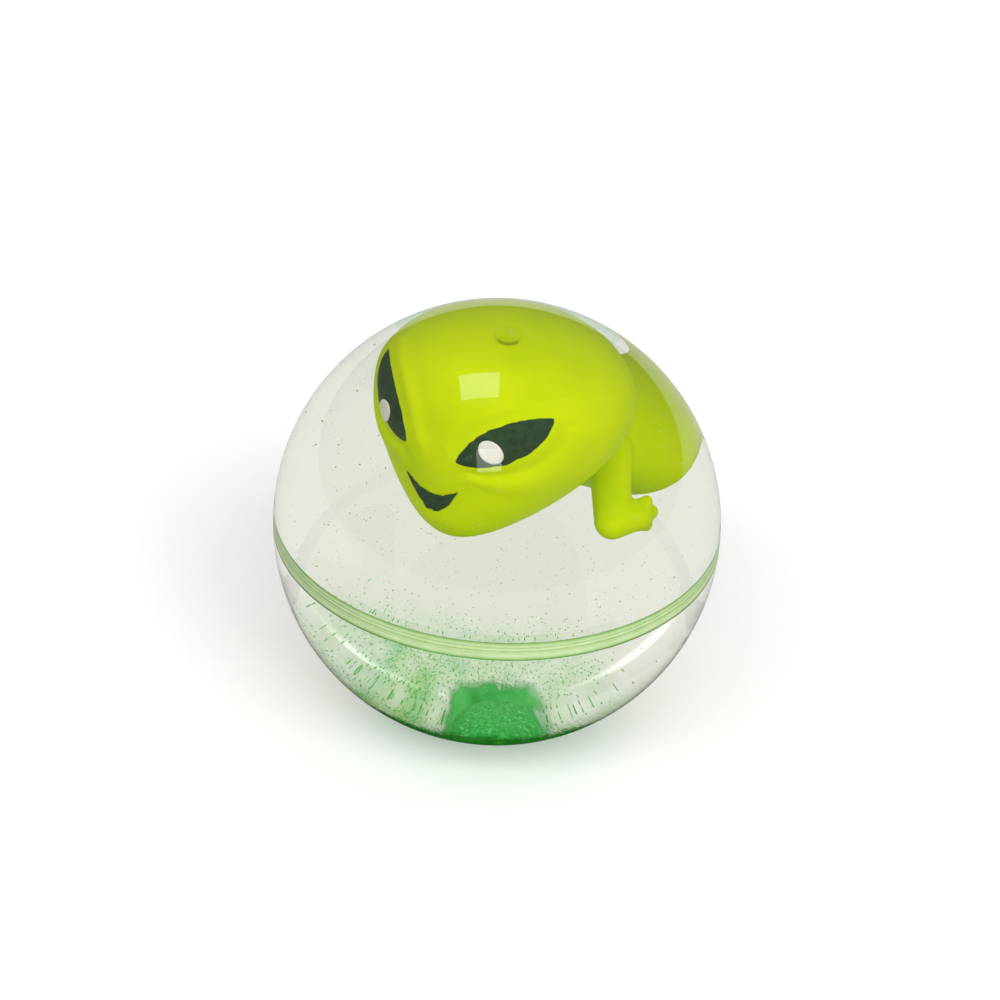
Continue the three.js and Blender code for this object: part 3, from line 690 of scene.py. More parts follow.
def make_lower_shell(finishes):
    """Lower half, flat where it rests."""
    edge = -SEAM_HEIGHT / 2 - JOIN_GAP
    flat = -math.acos(REST_FLAT_RADIUS / BALL_RADIUS)
    outer = arc(BALL_RADIUS, flat, math.asin(edge / BALL_RADIUS), OUTSIDE)
    inner = arc(INNER_RADIUS, math.asin(edge / INNER_RADIUS), -math.pi / 2, INSIDE)
    inner[-1] = (0.0, -INNER_RADIUS, INSIDE)
    middle = [(0.0, -CENTRE_HEIGHT, OUTSIDE)]
    piece = make_round("lower_half", middle + joined(outer) + inner, finishes)
    declare(piece, "shell", "clear_vinyl", "lower_shell")


def make_fill_plug(finishes):
    """Plug welded flush into the pole, with a soft dish in its top."""
    seat = BALL_RADIUS - PLUG_HEAD_HEIGHT + JOIN_GAP
    dish = []
    for i in range(PLUG_STEPS + 1):
        radius = PLUG_RADIUS * (1 - i / PLUG_STEPS)
        depth = PLUG_DISH_DEPTH * math.cos(radius / PLUG_RADIUS * math.pi / 2) ** 2
        dish.append((radius, math.sqrt(BALL_RADIUS ** 2 - radius ** 2) - depth, OUTSIDE))
    stem = [(0.0, INNER_RADIUS, INSIDE), (PLUG_STEM_RADIUS, INNER_RADIUS, JOIN)]
    head = [(PLUG_STEM_RADIUS, seat, JOIN), (PLUG_RADIUS, seat, JOIN)]
    piece = make_round("pole_plug", stem + head + dish, finishes, ROUND_SEGMENTS // 2)
    declare(piece, "shell", "clear_vinyl", "fill_plug")


def make_seam_ring(finish, finishes):
    """Welded band, green on its grooved face and clear through the wall behind it."""
    half = SEAM_HEIGHT / 2
    face = []
    for i in range(SEAM_STEPS + 1):
        height = -half + SEAM_HEIGHT * i / SEAM_STEPS
        radius = math.sqrt(BALL_RADIUS ** 2 - height ** 2)
        for groove in SEAM_GROOVES:
            radius -= SEAM_GROOVE_DEPTH * math.exp(-((height - groove) / SEAM_GROOVE_WIDTH) ** 2 * 4)
        from_edge = half - abs(height)
        if from_edge < SEAM_EDGE_ROUND:
            radius -= SEAM_EDGE_ROUND - math.sqrt(SEAM_EDGE_ROUND ** 2 - (SEAM_EDGE_ROUND - from_edge) ** 2)
        face.append((radius, height, SKIN))
    inside = [(INNER_RADIUS, half, INSIDE), (INNER_RADIUS, -half, JOIN)]
    piece = make_round("seam_band", joined(face) + inside, finishes + [finish])
    declare(piece, "shell", "seam_green", "seam_ring")


def make_water(finish):
    """Water that fills the ball."""
    profile = arc(WATER_RADIUS, -math.pi / 2, math.pi / 2, OUTSIDE)
    profile[0] = (0.0, -WATER_RADIUS, OUTSIDE)
    profile[-1] = (0.0, WATER_RADIUS, OUTSIDE)
    declare(make_round("water", profile, [finish]), "water", "water", "water_fill")


# Glitter

def make_glitter_bed(finish):
    """Settled glitter: a thin lumpy layer on the wall that rises to the mound."""
    rings, sides = BED_GRID
    top = []
    bottom = []
    for ring, radius, x, y in disc_places(BED_RADIUS, rings, sides):
        floor = -math.sqrt(BED_FLOOR_RADIUS ** 2 - radius ** 2)
        away = math.hypot(x - MOUND_MIDDLE[0], y - MOUND_MIDDLE[1]) / MOUND_RADIUS
        lumps = ripple(x, y, 0.0, BED_LUMPS)
        layer = (BED_LAYER + lumps) * min(1.0, (rings - ring) / BED_EDGE_RINGS)
        mound = MOUND_TOP - MOUND_DROP * away ** 4 + lumps - floor
        rise = MOUND_SOFTNESS * np.logaddexp(layer / MOUND_SOFTNESS, mound / MOUND_SOFTNESS)
        bottom.append((x, y, floor))
        top.append((x, y, floor + max(rise, BED_LEAST)))
    offset = len(top)
    faces = grid_faces(rings, sides, wrap=True)
    faces += [tuple(index + offset for index in reversed(face)) for face in faces]
    outer = (rings - 1) * sides
    for side in range(sides):
        beside = (side + 1) % sides
        faces.append((outer + side, outer + offset + side, outer + offset + beside, outer + beside))
    faces.append(tuple(range(sides)))
    faces.append(tuple(range(offset + sides - 1, offset - 1, -1)))
    piece = new_piece("glitter_mound", top + bottom, faces, BALL, [finish])
    declare(piece, "water", "glitter", "glitter_bed")


def random_turn(tree, seed, tilt):
    """Socket of a random turn, tilted by no more than an angle."""
    inputs = {"Seed": seed, "Min": (-tilt, -tilt, -math.pi), "Max": (tilt, tilt, math.pi)}
    angles = add_node(tree, "FunctionNodeRandomValue", inputs, data_type="FLOAT_VECTOR").outputs["Value"]
    return add_node(tree, "FunctionNodeEulerToRotation", {"Euler": angles}).outputs["Rotation"]


def flake_tree(name, spreads_on_faces):
    """Geometry nodes that strew thin square flakes over faces, by their shares, or put one at each point."""
    tree = bpy.data.node_groups.new(name, "GeometryNodeTree")
    sockets = [("Geometry", "NodeSocketGeometry"), ("Flake Radius", "NodeSocketFloat"),
               ("Flake Thickness", "NodeSocketFloat"), ("Amount", "NodeSocketFloat"),
               ("Seed", "NodeSocketInt"), ("Material", "NodeSocketMaterial")]
    for label, kind in sockets:
        tree.interface.new_socket(label, in_out="INPUT", socket_type=kind)
    tree.interface.new_socket("Geometry", in_out="OUTPUT", socket_type="NodeSocketGeometry")
    given = tree.nodes.new("NodeGroupInput").outputs
    if spreads_on_faces:
        share = add_node(tree, "GeometryNodeInputNamedAttribute", {"Name": "share"}, data_type="FLOAT")
        factors = {0: share.outputs[0], 1: given["Amount"]}
        density = add_node(tree, "ShaderNodeMath", factors, operation="MULTIPLY")
        spots = add_node(tree, "GeometryNodeDistributePointsOnFaces", {
            "Mesh": given["Geometry"], "Density": density.outputs[0], "Seed": given["Seed"],
        })
        strewn = spots.outputs["Points"]
        tilt = random_turn(tree, given["Seed"], WALL_FLAKE_TILT)
        turn = add_node(tree, "FunctionNodeRotateRotation", {
            "Rotation": spots.outputs["Rotation"], "Rotate By": tilt,
        }, rotation_space="LOCAL").outputs["Rotation"]
    else:
        strewn = given["Geometry"]
        turn = random_turn(tree, given["Seed"], math.pi)
    flake = add_node(tree, "GeometryNodeMeshCylinder", {
        "Vertices": 4, "Radius": given["Flake Radius"], "Depth": given["Flake Thickness"],
    }).outputs["Mesh"]
    sizes = {"Seed": given["Seed"], 2: FLAKE_SIZES[0], 3: FLAKE_SIZES[1]}
    size = add_node(tree, "FunctionNodeRandomValue", sizes, data_type="FLOAT")
    placed = add_node(tree, "GeometryNodeInstanceOnPoints", {
        "Points": strewn, "Instance": flake, "Rotation": turn, "Scale": size.outputs[1],
    }).outputs["Instances"]
    tone = add_node(tree, "FunctionNodeRandomValue", {"Seed": given["Seed"]}, data_type="FLOAT")
    kept = add_node(tree, "GeometryNodeStoreNamedAttribute", {
        "Geometry": placed, "Name": "tone", "Value": tone.outputs[1],
    }, data_type="FLOAT", domain="INSTANCE").outputs["Geometry"]
    real = add_node(tree, "GeometryNodeRealizeInstances", {"Geometry": kept}).outputs["Geometry"]
    finished = add_node(tree, "GeometryNodeSetMaterial", {"Geometry": real, "Material": given["Material"]})
    add_node(tree, "NodeGroupOutput", {"Geometry": finished.outputs["Geometry"]})
    return tree


def strew(name, carrier, radius, finish, density=None):
    """Piece of flakes, one at each point of a carrier mesh or, with a density, strewn over its faces."""
    piece = put(name, carrier)
    tree = flake_tree(name, density is not None)
    values = {
        "Flake Radius": radius * MM, "Flake Thickness": FLAKE_THICKNESS * MM,
        "Seed": SEED, "Material": finish,
    }
    if density is not None:
        values["Amount"] = density / MM ** 2
    modifier = piece.modifiers.new("flakes", "NODES")
    modifier.node_group = tree
    for item in tree.interface.items_tree:
        if item.in_out == "INPUT" and item.name in values:
            modifier[item.identifier] = values[item.name]
    settle(piece)
    declare(piece, "water", "glitter")


def in_figure(place):
    """True for a place in the water, from the ball's centre, that the figure takes up."""
    at_head = FIGURE.inverted() @ (BALL @ Vector(place))
    up = at_head.z / HEAD_HALF[2]
    across = at_head.x / (HEAD_HALF[0] * (1 + HEAD_TAPER[0] * up))
    through = at_head.y / (HEAD_HALF[1] * (1 + HEAD_TAPER[1] * up))
    if up ** 2 + across ** 2 + through ** 2 < HEAD_CLEARANCE ** 2:
        return True
    at_spine = SPINE.inverted() @ (BALL @ Vector(place))
    return abs(at_spine.x) < BODY_CLEARANCE[0] and at_spine.y > 0 and abs(at_spine.z) < BODY_CLEARANCE[1]


def water_places():
    """Random places in the water, clear of the wall and of the figure, from the ball's centre."""
    reach = WATER_RADIUS - FLOATING_FLAKE_GAP
    draws = np.random.default_rng(SEED).uniform(-reach, reach, (FLOATING_FLAKES, 3))
    return [tuple(place) for place in draws if np.linalg.norm(place) < reach and not in_figure(place)]


def make_floating_flakes(finish):
    """Flakes that drift in the water."""
    carrier = bpy.data.meshes.new("drifting_flakes_carrier")
    carrier.from_pydata(water_places(), [], [])
    carrier.transform(BALL)
    strew("drifting_flakes", carrier, FLOATING_FLAKE_RADIUS, finish)


def dust_share(x, y):
    """How thickly the finest glitter lies at a place: patches behind the mound, most on the left."""
    across = (x - DUST_MIDDLE[0]) / DUST_HALO[0]
    back = (y - DUST_MIDDLE[1]) / DUST_HALO[1]
    halo = math.exp(-across ** 4 - back ** 4)
    left = clamp(DUST_MIDDLE_SHARE - DUST_LEAN * across)
    return DUST_COVER * halo * left * clamp(ripple(x, y, DUST_LEVEL, DUST_PATCHES))


def drift_cover(x, y):
    """How thickly the drift behind the mound covers the wall at a place; its edge is ragged."""
    across = (x - DRIFT_MIDDLE[0]) / DRIFT_HALF[0]
    back = (y - DRIFT_MIDDLE[1]) / DRIFT_HALF[1]
    edge = ripple(x, y, 1.0, DRIFT_EDGE)
    return DRIFT_COVER * clamp((edge - (across ** 4 + back ** 4) ** 0.25) / DRIFT_FADE)


def drift_share(x, y):
    """How thickly fine flakes lie on the wall at a place: a drift at the back, and fewer round it."""
    drift = math.exp(-(math.hypot(x - DRIFT_MIDDLE[0], y - DRIFT_MIDDLE[1]) / DRIFT_RADIUS) ** 6)
    thin = BACK_FLAKES_AROUND * max(1 - math.hypot(x, y) / WALL_FLAKE_REACH, 0.0)
    return drift + BACK_FLAKES_IN_DUST * dust_share(x, y) + thin


def film_share(x, y):
    """How thickly glitter lies low on the front of the wall at a place, in a film with a ragged top."""
    radius = math.hypot(x, y)
    top = ripple(x, y, FILM_REACH, FILM_EDGE)
    inner = clamp((radius - FILM_START) / FILM_FADES[0])
    outer = clamp((top - radius) / FILM_FADES[1])
    front = clamp(-y / FILM_FADES[2])
    return inner * outer * front


def wall_patch(share, wall_radius):
    """Points and faces of the low part of the wall, and the share of glitter at each point."""
    points = []
    shares = []
    for _, away, x, y in disc_places(WALL_FLAKE_REACH, *WALL_GRID):
        points.append((x, y, -math.sqrt(wall_radius ** 2 - away ** 2)))
        shares.append(share(x, y))
    return points, grid_faces(*WALL_GRID, wrap=True), shares


def shared_mesh(name, points, faces, shares):
    """Mesh in the ball that keeps the share of glitter at each point."""
    mesh = bpy.data.meshes.new(name)
    mesh.from_pydata(points, [], faces)
    mesh.transform(BALL)
    mesh.attributes.new("share", "FLOAT", "POINT").data.foreach_set("value", shares)
    return mesh


def make_wall_dust(name, share, wall_radius, finish):
    """Film of the finest glitter on the wall, as thick at each place as its share says."""
    points, faces, shares = wall_patch(share, wall_radius)
    dusty = [face for face in faces if max(shares[corner] for corner in face) > DUST_LEAST]
    used = sorted({corner for face in dusty for corner in face})
    number = {corner: index for index, corner in enumerate(used)}
    faces = [tuple(number[corner] for corner in face) for face in dusty]
    mesh = shared_mesh(name, [points[corner] for corner in used], faces, [shares[corner] for corner in used])
    mesh.materials.append(finish)
    mesh.shade_smooth()
    piece = put(name, mesh)
    thicken(piece, DUST_THICKNESS, 1)
    declare(piece, "water", "glitter")


def make_wall_flakes(name, share, radius, density, finish):
    """Loose flakes on the wall, strewn by a share of the density at each place."""
    carrier = shared_mesh(f"{name}_carrier", *wall_patch(share, WALL_FLAKE_RADIUS))
    strew(name, carrier, radius, finish, density)


# Figure

def eye_curves(share):
    """Heights of the upper and lower lid over the line between an eye's corners, at a share of its length."""
    swell = (4 * share * (1 - share)) ** EYE_BLUNTNESS
    return EYE_UPPER_BULGE * swell, -EYE_LOWER_BULGE * swell


def eye_axes():
    """Unit vectors along and across an eye, and its length."""
    along = EYE_OUTER - EYE_INNER
    length = float(np.linalg.norm(along))
    along = along / length
    return along, np.array([-along[1], along[0]]), length


def ridge(from_line, height, place, width):
    """Rounded ridge at a place beside a line, or a groove where its height is below zero."""
    return height * np.exp(-((from_line - place) / width) ** 2)


def knob(x, z, height, place, across, up):
    """Rounded knob on the middle line of the face."""
    return height * np.exp(-(x / across) ** 2 - ((z - place) / up) ** 2)


def face_relief(x, z):
    """How far the face stands proud of the plain egg: ridges round the eyes, nose bridge and lip."""
    along, across, length = eye_axes()
    side = np.abs(x) - EYE_INNER[0]
    up = z - EYE_INNER[1]
    share = np.clip((side * along[0] + up * along[1]) / length, *RIDGE_SHARES)
    height = side * across[0] + up * across[1]
    upper, lower = eye_curves(np.clip(share, 0, 1))
    fade = np.exp(-(np.maximum(np.abs(share - 0.5) - RIDGE_FADE[0], 0) / RIDGE_FADE[1]) ** 2)
    ridges = ridge(height - upper, *BROW)
    ridges += ridge(height - lower, *EYE_CREASE)
    ridges += ridge(height - lower, *EYE_POUCH)
    ridges += ridge(height - (upper + lower) / 2, *EYE_SWELL)
    return fade * ridges + knob(x, z, *NOSE) + knob(x, z, *LIP)


def head_surface(ways, grow=0.0, relief=1.0):
    """Points of the head along unit ways from its middle, in the figure's own frame."""
    up = ways[:, 2]
    width = (HEAD_HALF[0] + grow) * (1 + HEAD_TAPER[0] * up)
    depth = (HEAD_HALF[1] + grow) * (1 + HEAD_TAPER[1] * up)
    points = np.stack([ways[:, 0] * width, ways[:, 1] * depth, up * (HEAD_HALF[2] + grow)], axis=1)
    outward = points / np.array(HEAD_HALF) ** 2
    outward /= np.linalg.norm(outward, axis=1, keepdims=True)
    front = np.clip(-ways[:, 1] / FACE_FADE, 0, 1)
    return points + outward * (relief * front * face_relief(points[:, 0], points[:, 2]))[:, None]


def face_points(across, up, grow):
    """Points on the face at places in its plane."""
    height = up / HEAD_HALF[2]
    sideways = across / (HEAD_HALF[0] * (1 + HEAD_TAPER[0] * height))
    forward = -np.sqrt(np.maximum(1 - height ** 2 - sideways ** 2, 0.01))
    return head_surface(np.stack([sideways, forward, height], axis=1), grow)


def sphere_ways(segments, rings):
    """Unit ways of a globe and its faces, with single points at the poles."""
    ways = [(0.0, 0.0, -1.0)]
    for ring in range(1, rings):
        tilt = math.pi * ring / rings - math.pi / 2
        for segment in range(segments):
            angle = 2 * math.pi * segment / segments
            ways.append((math.cos(tilt) * math.cos(angle), math.cos(tilt) * math.sin(angle), math.sin(tilt)))
    ways.append((0.0, 0.0, 1.0))
    faces = [tuple(index + 1 for index in face) for face in grid_faces(rings - 1, segments, wrap=True)]
    top = len(ways) - 1
    last = top - segments
    for segment in range(segments):
        beside = (segment + 1) % segments
        faces.append((0, 1 + beside, 1 + segment))
        faces.append((top, last + segment, last + beside))
    return np.array(ways), faces


def head_globe(name, globe, finish, grow=0.0, relief=1.0):
    """Piece in the shape of the head, grown or shrunk, with or without the relief of the face."""
    ways, faces = sphere_ways(*globe)
    return new_piece(name, head_surface(ways, grow, relief), faces, FIGURE, [finish])


def make_head(finish):
    """Hollow head: the sculpted outside and the plain inside of its wall."""
    head = head_globe("head", HEAD_GLOBE, finish)
    inner = head_globe("head_inside", HEAD_INSIDE_GLOBE, finish, -HEAD_WALL, 0.0)
    joint = bmesh.new()
    joint.from_mesh(inner.data)
    bmesh.ops.reverse_faces(joint, faces=joint.faces)
    joint.from_mesh(head.data)
    joint.to_mesh(head.data)
    joint.free()
    bpy.data.objects.remove(inner)
    declare(head, "figure", "lime_vinyl", "figure_head")


def make_patch(name, places, grid, lift, finish):
    """Coat of paint on the face over a grid of places in its plane, with its own thickness."""
    across, up = np.array(places).T
    piece = new_piece(name, face_points(across, up, lift), grid_faces(*grid), FIGURE, [finish])
    thicken(piece, PAINT_THICKNESS, -1)
    declare(piece, "figure", "lime_vinyl")


def ragged(share, seed):
    """Uneven edge of hand-sprayed paint at a share of its length, which starts from nothing at both ends."""
    taper = min(1.0, share * PAINT_EDGE_START, (1 - share) * PAINT_EDGE_START)
    edge = 0.0
    for height, frequency, layer in PAINT_WAVES:
        edge += height * noise.noise((share * frequency, seed, layer))
    return taper * edge


def make_eye(side, dark, white):
    """Almond eye and oval pupil on one side."""
    label, pupil = ("left", LEFT_PUPIL) if side < 0 else ("right", RIGHT_PUPIL)
    along, across, length = eye_axes()
    mirror = np.array([side, 1])
    almond = []
    for rise, share in grid_shares(*EYE_GRID):
        upper, lower = eye_curves(share)
        upper += ragged(share, EYE_EDGE_SEEDS[0] + side)
        lower += ragged(share, EYE_EDGE_SEEDS[1] + side)
        height = lower + (upper - lower) * rise
        almond.append(mirror * (EYE_INNER + along * length * share + across * height))
    make_patch(f"eye_{label}", almond, EYE_GRID, PAINT_LIFT, dark)
    oval = []
    for reach, share in grid_shares(*PUPIL_GRID):
        angle = 2 * math.pi * share
        x = pupil[0] + PUPIL_HALF[0] * reach * math.cos(angle)
        oval.append((side * x, pupil[1] + PUPIL_HALF[1] * reach * math.sin(angle)))
    make_patch(f"pupil_{label}", oval, PUPIL_GRID, 2 * PAINT_LIFT, white)


def make_mouth(dark):
    """Crescent smirk."""
    crescent = []
    for rise, share in grid_shares(*MOUTH_GRID):
        swell = 4 * share * (1 - share)
        upper = MOUTH_CORNER_HEIGHT - MOUTH_UPPER_SAG * swell + ragged(share, MOUTH_EDGE_SEEDS[0])
        lower = MOUTH_CORNER_HEIGHT - MOUTH_LOWER_SAG * swell + 2 * ragged(share, MOUTH_EDGE_SEEDS[1])
        crescent.append((MOUTH_HALF_WIDTH * (2 * share - 1), lower + (upper - lower) * rise))
    make_patch("mouth", crescent, MOUTH_GRID, PAINT_LIFT, dark)


def torso_half(along):
    """Half sizes of the torso at a station of the spine."""
    return [np.interp(along, TORSO_STATIONS, halves) for halves in zip(*TORSO_HALVES)]


def oval_loft(stations):
    """Points and faces of a closed loft of ovals, from (along, across half, through half) stations."""
    points = []
    for along, across, through in stations:
        for side in range(OVAL_SIDES):
            angle = 2 * math.pi * side / OVAL_SIDES
            x = TORSO_SIDEWAYS_LEAN * along + across * math.cos(angle)
            points.append((x, along, through * math.sin(angle)))
    faces = grid_faces(len(stations), OVAL_SIDES, wrap=True)
    faces.append(tuple(reversed(range(OVAL_SIDES))))
    last = (len(stations) - 1) * OVAL_SIDES
    faces.append(tuple(range(last, last + OVAL_SIDES)))
    return points, faces


def bead(middle, radius):
    """Points and faces of a ball of flesh."""
    ways, faces = sphere_ways(*BEAD_GLOBE)
    return np.array(middle) + ways * radius, faces


def limb_beads(start, end, start_radius, end_radius, count):
    """Row of balls that fills a limb."""
    beads = []
    for share in np.linspace(0, 1, count):
        middle = np.array(start) * (1 - share) + np.array(end) * share
        beads.append(bead(middle, start_radius + (end_radius - start_radius) * share))
    return beads


def arm_beads(side):
    """Balls that fill an arm and its curled fist."""
    mirror = np.array([side, 1, 1])
    shoulder, elbow, wrist = (np.array(point) * mirror for point in (SHOULDER, ELBOW, WRIST))
    beads = limb_beads(shoulder, elbow, ARM_RADII[0], ARM_RADII[1], ARM_BEADS[0])
    beads += limb_beads(elbow, wrist, ARM_RADII[1], ARM_RADII[2], ARM_BEADS[1])
    forward = (wrist - elbow) / np.linalg.norm(wrist - elbow)
    middle = wrist + forward * FIST_RADIUS / 2
    beads.append(bead(middle, FIST_RADIUS))
    line = np.cross([1, 0, 0], forward)
    line = line / np.linalg.norm(line)
    for finger in range(FINGERS):
        angle = (finger - (FINGERS - 1) / 2) * 2 * math.asin(FINGER_RADIUS / FIST_RADIUS)
        knuckle = FIST_RADIUS * (forward * math.cos(angle) + line * math.sin(angle))
        beads.append(bead(middle + knuckle, FINGER_RADIUS))
    return beads


def torso_stations():
    """Stations of the torso, from inside the head to the rounded edge of its base."""
    base = TORSO_STATIONS[-1]
    stations = []
    for along in np.linspace(TORSO_STATIONS[0], base - TORSO_EDGE_ROUND, TORSO_STEPS):
        stations.append((along, *torso_half(along)))
    for turn in np.linspace(0, math.pi / 2, TORSO_EDGE_STEPS)[1:]:
        across, through = torso_half(base)
        inset = TORSO_EDGE_ROUND * (1 - math.cos(turn))
        stations.append((base - TORSO_EDGE_ROUND * (1 - math.sin(turn)), across - inset, through - inset))
    return stations


def lid_stations(gap, depth, beyond=0.0):
    """Stations of the base lid, or of its seat when it runs on beyond the base."""
    base = TORSO_STATIONS[-1]
    stations = []
    for along in (base - depth, base + beyond):
        across, through = torso_half(min(along, base))
        stations.append((along, across - TORSO_WALL - gap, through - TORSO_WALL - gap))
    return stations


def make_body(finish):
    """Torso and arms in one moulded skin, seated on the back of the head, with the lid's seat in its base."""
    points, faces = oval_loft(torso_stations())
    for ball_points, ball_faces in arm_beads(1) + arm_beads(-1):
        offset = len(points)
        points.extend(ball_points)
        faces.extend(tuple(index + offset for index in face) for face in ball_faces)
    body = new_piece("torso_and_arms", points, faces, SPINE, [finish])
    skin = body.modifiers.new("skin", "REMESH")
    skin.mode = "VOXEL"
    skin.voxel_size = SKIN_VOXEL * MM
    smooth = body.modifiers.new("soften", "SMOOTH")
    smooth.factor = SKIN_SOFTNESS
    smooth.iterations = SKIN_SMOOTHING
    settle(body)
    head = head_globe("head_seat", HEAD_SEAT_GLOBE, finish, HEAD_SEAT_GAP, 0.0)
    seat_points, seat_faces = oval_loft(lid_stations(0.0, LID_THICKNESS + LID_GAP, LID_SEAT_BEYOND))
    lid = new_piece("lid_seat", seat_points, seat_faces, SPINE, [finish])
    for cutter in (head, lid):
        cut = body.modifiers.new("cut", "BOOLEAN")
        cut.operation = "DIFFERENCE"
        cut.solver = "EXACT"
        cut.object = cutter
    settle(body)
    for cutter in (head, lid):
        bpy.data.objects.remove(cutter)
    shade(body.data)
    declare(body, "figure", "lime_vinyl", "figure_body")


def make_base_lid(finish):
    """Lid in the base of the torso, with a softened edge."""
    points, faces = oval_loft(lid_stations(LID_GAP, LID_THICKNESS))
    lid = new_piece("base_lid", points, faces, SPINE, [finish])
    edge = lid.modifiers.new("edge", "BEVEL")
    edge.width = LID_EDGE_ROUND * MM
    edge.segments = LID_EDGE_STEPS
    edge.limit_method = "ANGLE"
    settle(lid)
    shade(lid.data)
    declare(lid, "figure", "lime_vinyl", "base_plug")


def dress_flasher():
    """Finishes of the flasher's pieces, which stay as they are."""
    for name, (tone, roughness, metallic, nodes) in FLASHER_FINISHES.items():
        finish = part_finish(name, tone, roughness, metallic)
        for node in nodes:
            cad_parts[node].data.materials.clear()
            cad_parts[node].data.materials.append(finish)


# Stage

def white_glow(tree, strength):
    """Shader node of a white glow."""
    return add_node(tree, "ShaderNodeEmission", {"Color": WHITE, "Strength": strength})


def paler_outwards(tree, reach, strengths):
    """Socket of a strength that rises between two distances from the contact, in metres: painted shade round
    the contact.
    """
    away = add_node(tree, "ShaderNodeVectorMath", {0: object_place(tree)}, operation="LENGTH")
    return spread(tree, away.outputs["Value"], *strengths, *reach, smooth=True)


def painted_light_spots(tree):
    """Socket of the floor's strength through the ball, with painted spots of light where a real ball would
    gather it.
    """
    strength = FLOOR_THROUGH_BALL
    for middle, radius in PAINTED_LIGHT_SPOTS:
        places = {0: object_place(tree), 1: middle}
        away = add_node(tree, "ShaderNodeVectorMath", places, operation="DISTANCE")
        strength = spread(tree, away.outputs["Value"], PAINTED_SPOT_STRENGTH, strength, end=radius, smooth=True)
    return strength


def floor_finish():
    """White that keeps the ball's shadow, with painted shade round the contact in its glow and where the ball
    mirrors it; seen through the ball it is even but for painted spots of light.
    """
    material, tree = new_material("floor_white")
    matte = add_node(tree, "ShaderNodeBsdfDiffuse", {"Color": FLOOR_WHITE})
    # Glow that dips near the ball: painted shade round the contact
    glow = white_glow(tree, paler_outwards(tree, GLOW_REACH, FLOOR_GLOW))
    lit = add_node(tree, "ShaderNodeAddShader", {0: matte.outputs[0], 1: glow.outputs[0]})
    # Floor as the ball mirrors it, dark near the contact: a painted contact shadow
    mirrored = white_glow(tree, paler_outwards(tree, CONTACT_SHADE, FLOOR_MIRRORED))
    # Seen through the ball, the floor is even white with painted spots of light
    through = white_glow(tree, painted_light_spots(tree))
    path = light_path(tree)
    unbent = mixed_shader(tree, path["Is Glossy Ray"], lit, mirrored)
    return shown(material, mixed_shader(tree, path["Is Transmission Ray"], unbent, through))


def make_floor():
    """White sweep under the ball."""
    half = FLOOR_SIZE / 2
    corners = [(-half, -half, 0), (half, -half, 0), (half, half, 0), (-half, half, 0)]
    place = Matrix.Translation((0, 0, -FLOOR_DROP * MM)) @ Matrix.Scale(MM, 4)
    new_piece("floor", corners, [(0, 1, 2, 3)], place, [floor_finish()])


def make_world():
    """Even white room, dim where the ball mirrors it and white where it is seen."""
    world = bpy.data.worlds.new("studio")
    bpy.context.scene.world = world
    world.use_nodes = True
    tree = world.node_tree
    tree.nodes.clear()
    path = light_path(tree)
    plain = spread(tree, path["Is Camera Ray"], WORLD_LIGHT, WORLD_SEEN)
    unbent = spread(tree, path["Is Glossy Ray"], plain, WORLD_MIRRORED)
    strength = spread(tree, path["Is Transmission Ray"], unbent, WORLD_THROUGH_BALL)
    room = add_node(tree, "ShaderNodeBackground", {"Color": WHITE, "Strength": strength})
    output = tree.nodes.new("ShaderNodeOutputWorld")
    tree.links.new(room.outputs["Background"], output.inputs["Surface"])


def make_lamp(name, way, distance, sides, turn, radiance):
    """Oblong lamp in a direction from the ball, which it faces; distance and sides are in metres."""
    lamp = bpy.data.lights.new(name, "AREA")
    lamp.shape = "RECTANGLE"
    lamp.size, lamp.size_y = sides
    lamp.energy = radiance * math.pi * sides[0] * sides[1]
    towards = Vector(way).normalized()
    level = Vector((0, 0, 1)).cross(towards).normalized()
    rise = towards.cross(level)
    across = level * math.cos(turn) + rise * math.sin(turn)
    axes = Matrix((across, towards.cross(across), towards)).transposed().to_4x4()
    holder = put(name, lamp)
    holder.matrix_world = Matrix.Translation(Vector((0, 0, CENTRE_HEIGHT * MM)) + towards * distance) @ axes
    return holder


def make_lamps():
    """Wide key lamp and low fill that don't show in the ball, and softboxes that show but don't light."""
    for name, lamp in (("key_lamp", KEY_LAMP), ("fill_lamp", FILL_LAMP)):
        holder = make_lamp(name, *lamp)
        holder.visible_glossy = False
        holder.visible_transmission = False
    for name, softbox in (("overhead_softbox", OVERHEAD_SOFTBOX), ("front_softbox", FRONT_SOFTBOX)):
        make_lamp(name, *softbox).visible_diffuse = False


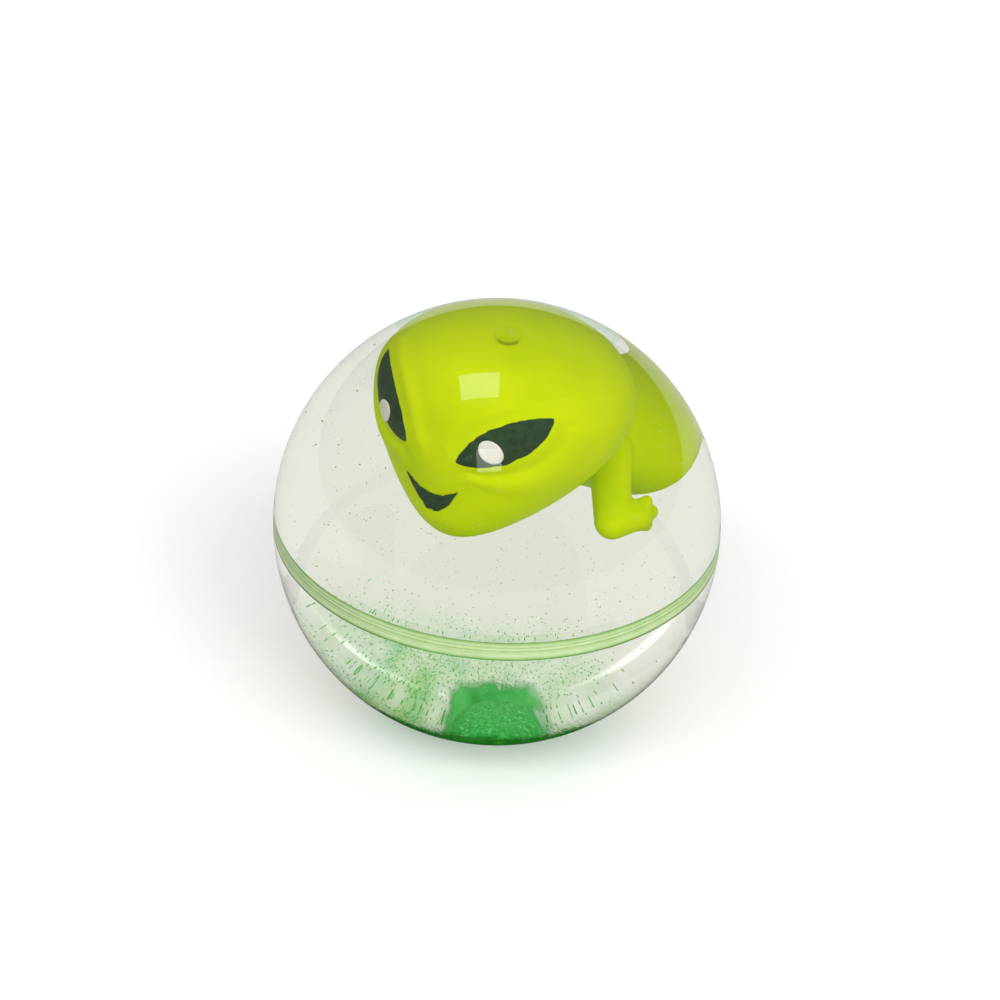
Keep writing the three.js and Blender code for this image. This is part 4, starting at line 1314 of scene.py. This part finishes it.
def make_camera():
    """Camera at the photograph's place."""
    right = Vector((1, 0, 0))
    up = Vector((0, math.sin(CAMERA_ELEVATION), math.cos(CAMERA_ELEVATION)))
    back = Vector((0, -math.cos(CAMERA_ELEVATION), math.sin(CAMERA_ELEVATION)))
    across = right * math.cos(CAMERA_ROLL) + up * math.sin(CAMERA_ROLL)
    upward = up * math.cos(CAMERA_ROLL) - right * math.sin(CAMERA_ROLL)
    lens = bpy.data.cameras.new("camera")
    lens.lens = CAMERA_LENS
    lens.shift_x = (FRAME_PIXELS / 2 - BALL_CENTRE_PIXEL[0]) / FRAME_PIXELS
    lens.shift_y = (BALL_CENTRE_PIXEL[1] - FRAME_PIXELS / 2) / FRAME_PIXELS
    lens.clip_start = CAMERA_CLIP_METRES
    camera = put("camera", lens)
    axes = Matrix((across, upward, back)).transposed().to_4x4()
    place = Vector((0, 0, CENTRE_HEIGHT)) + back * CAMERA_DISTANCE
    camera.matrix_world = Matrix.Translation(place * MM) @ axes
    bpy.context.scene.camera = camera


# The scene
bpy.context.scene.view_settings.view_transform = "Standard"
make_camera()
make_floor()
make_world()
make_lamps()

clear_finishes = [clear_outside(), clear_inside(), clear_join()]
make_upper_shell(clear_finishes)
make_lower_shell(clear_finishes)
make_fill_plug(clear_finishes)
make_seam_ring(seam_finish(), clear_finishes)
make_water(water_finish())

fine_flakes = flake_finish("fine_glitter", colour(60, 180, 60), colour(104, 212, 92), colour(150, 228, 150))
coarse_flakes = flake_finish("coarse_glitter", colour(2, 140, 0), colour(12, 166, 8), colour(60, 190, 50))
pale_dust = dust_finish("pale_dust", colour(120, 222, 130), colour(160, 228, 104), colour(132, 222, 92))
deep_dust = dust_finish("deep_dust", colour(8, 168, 0), colour(30, 184, 8), colour(70, 196, 40))
drift_dust = dust_finish("drift_dust", colour(40, 168, 66), colour(66, 198, 94), colour(96, 214, 112))
make_glitter_bed(glitter_bed_finish())
make_wall_dust("drift_film", drift_cover, DRIFT_WALL_RADIUS, drift_dust)
make_wall_dust("back_dust", dust_share, DUST_RADIUS, pale_dust)
make_wall_dust("front_dust", film_share, DUST_RADIUS, deep_dust)
make_wall_flakes("back_flakes", drift_share, BACK_FLAKE_RADIUS, BACK_FLAKE_DENSITY, fine_flakes)
make_wall_flakes("front_flakes", film_share, FRONT_FLAKE_RADIUS, FRONT_FLAKE_DENSITY, coarse_flakes)
make_floating_flakes(fine_flakes)

lime = lime_finish()
eye_dark = paint_finish("eye_dark", colour(58, 82, 54), colour(40, 62, 40))
pupil_white = paint_finish("pupil_white", colour(238, 238, 226), colour(226, 228, 212))
make_head(lime)
make_eye(-1, eye_dark, pupil_white)
make_eye(1, eye_dark, pupil_white)
make_mouth(eye_dark)
make_body(lime)
make_base_lid(lime)
dress_flasher()
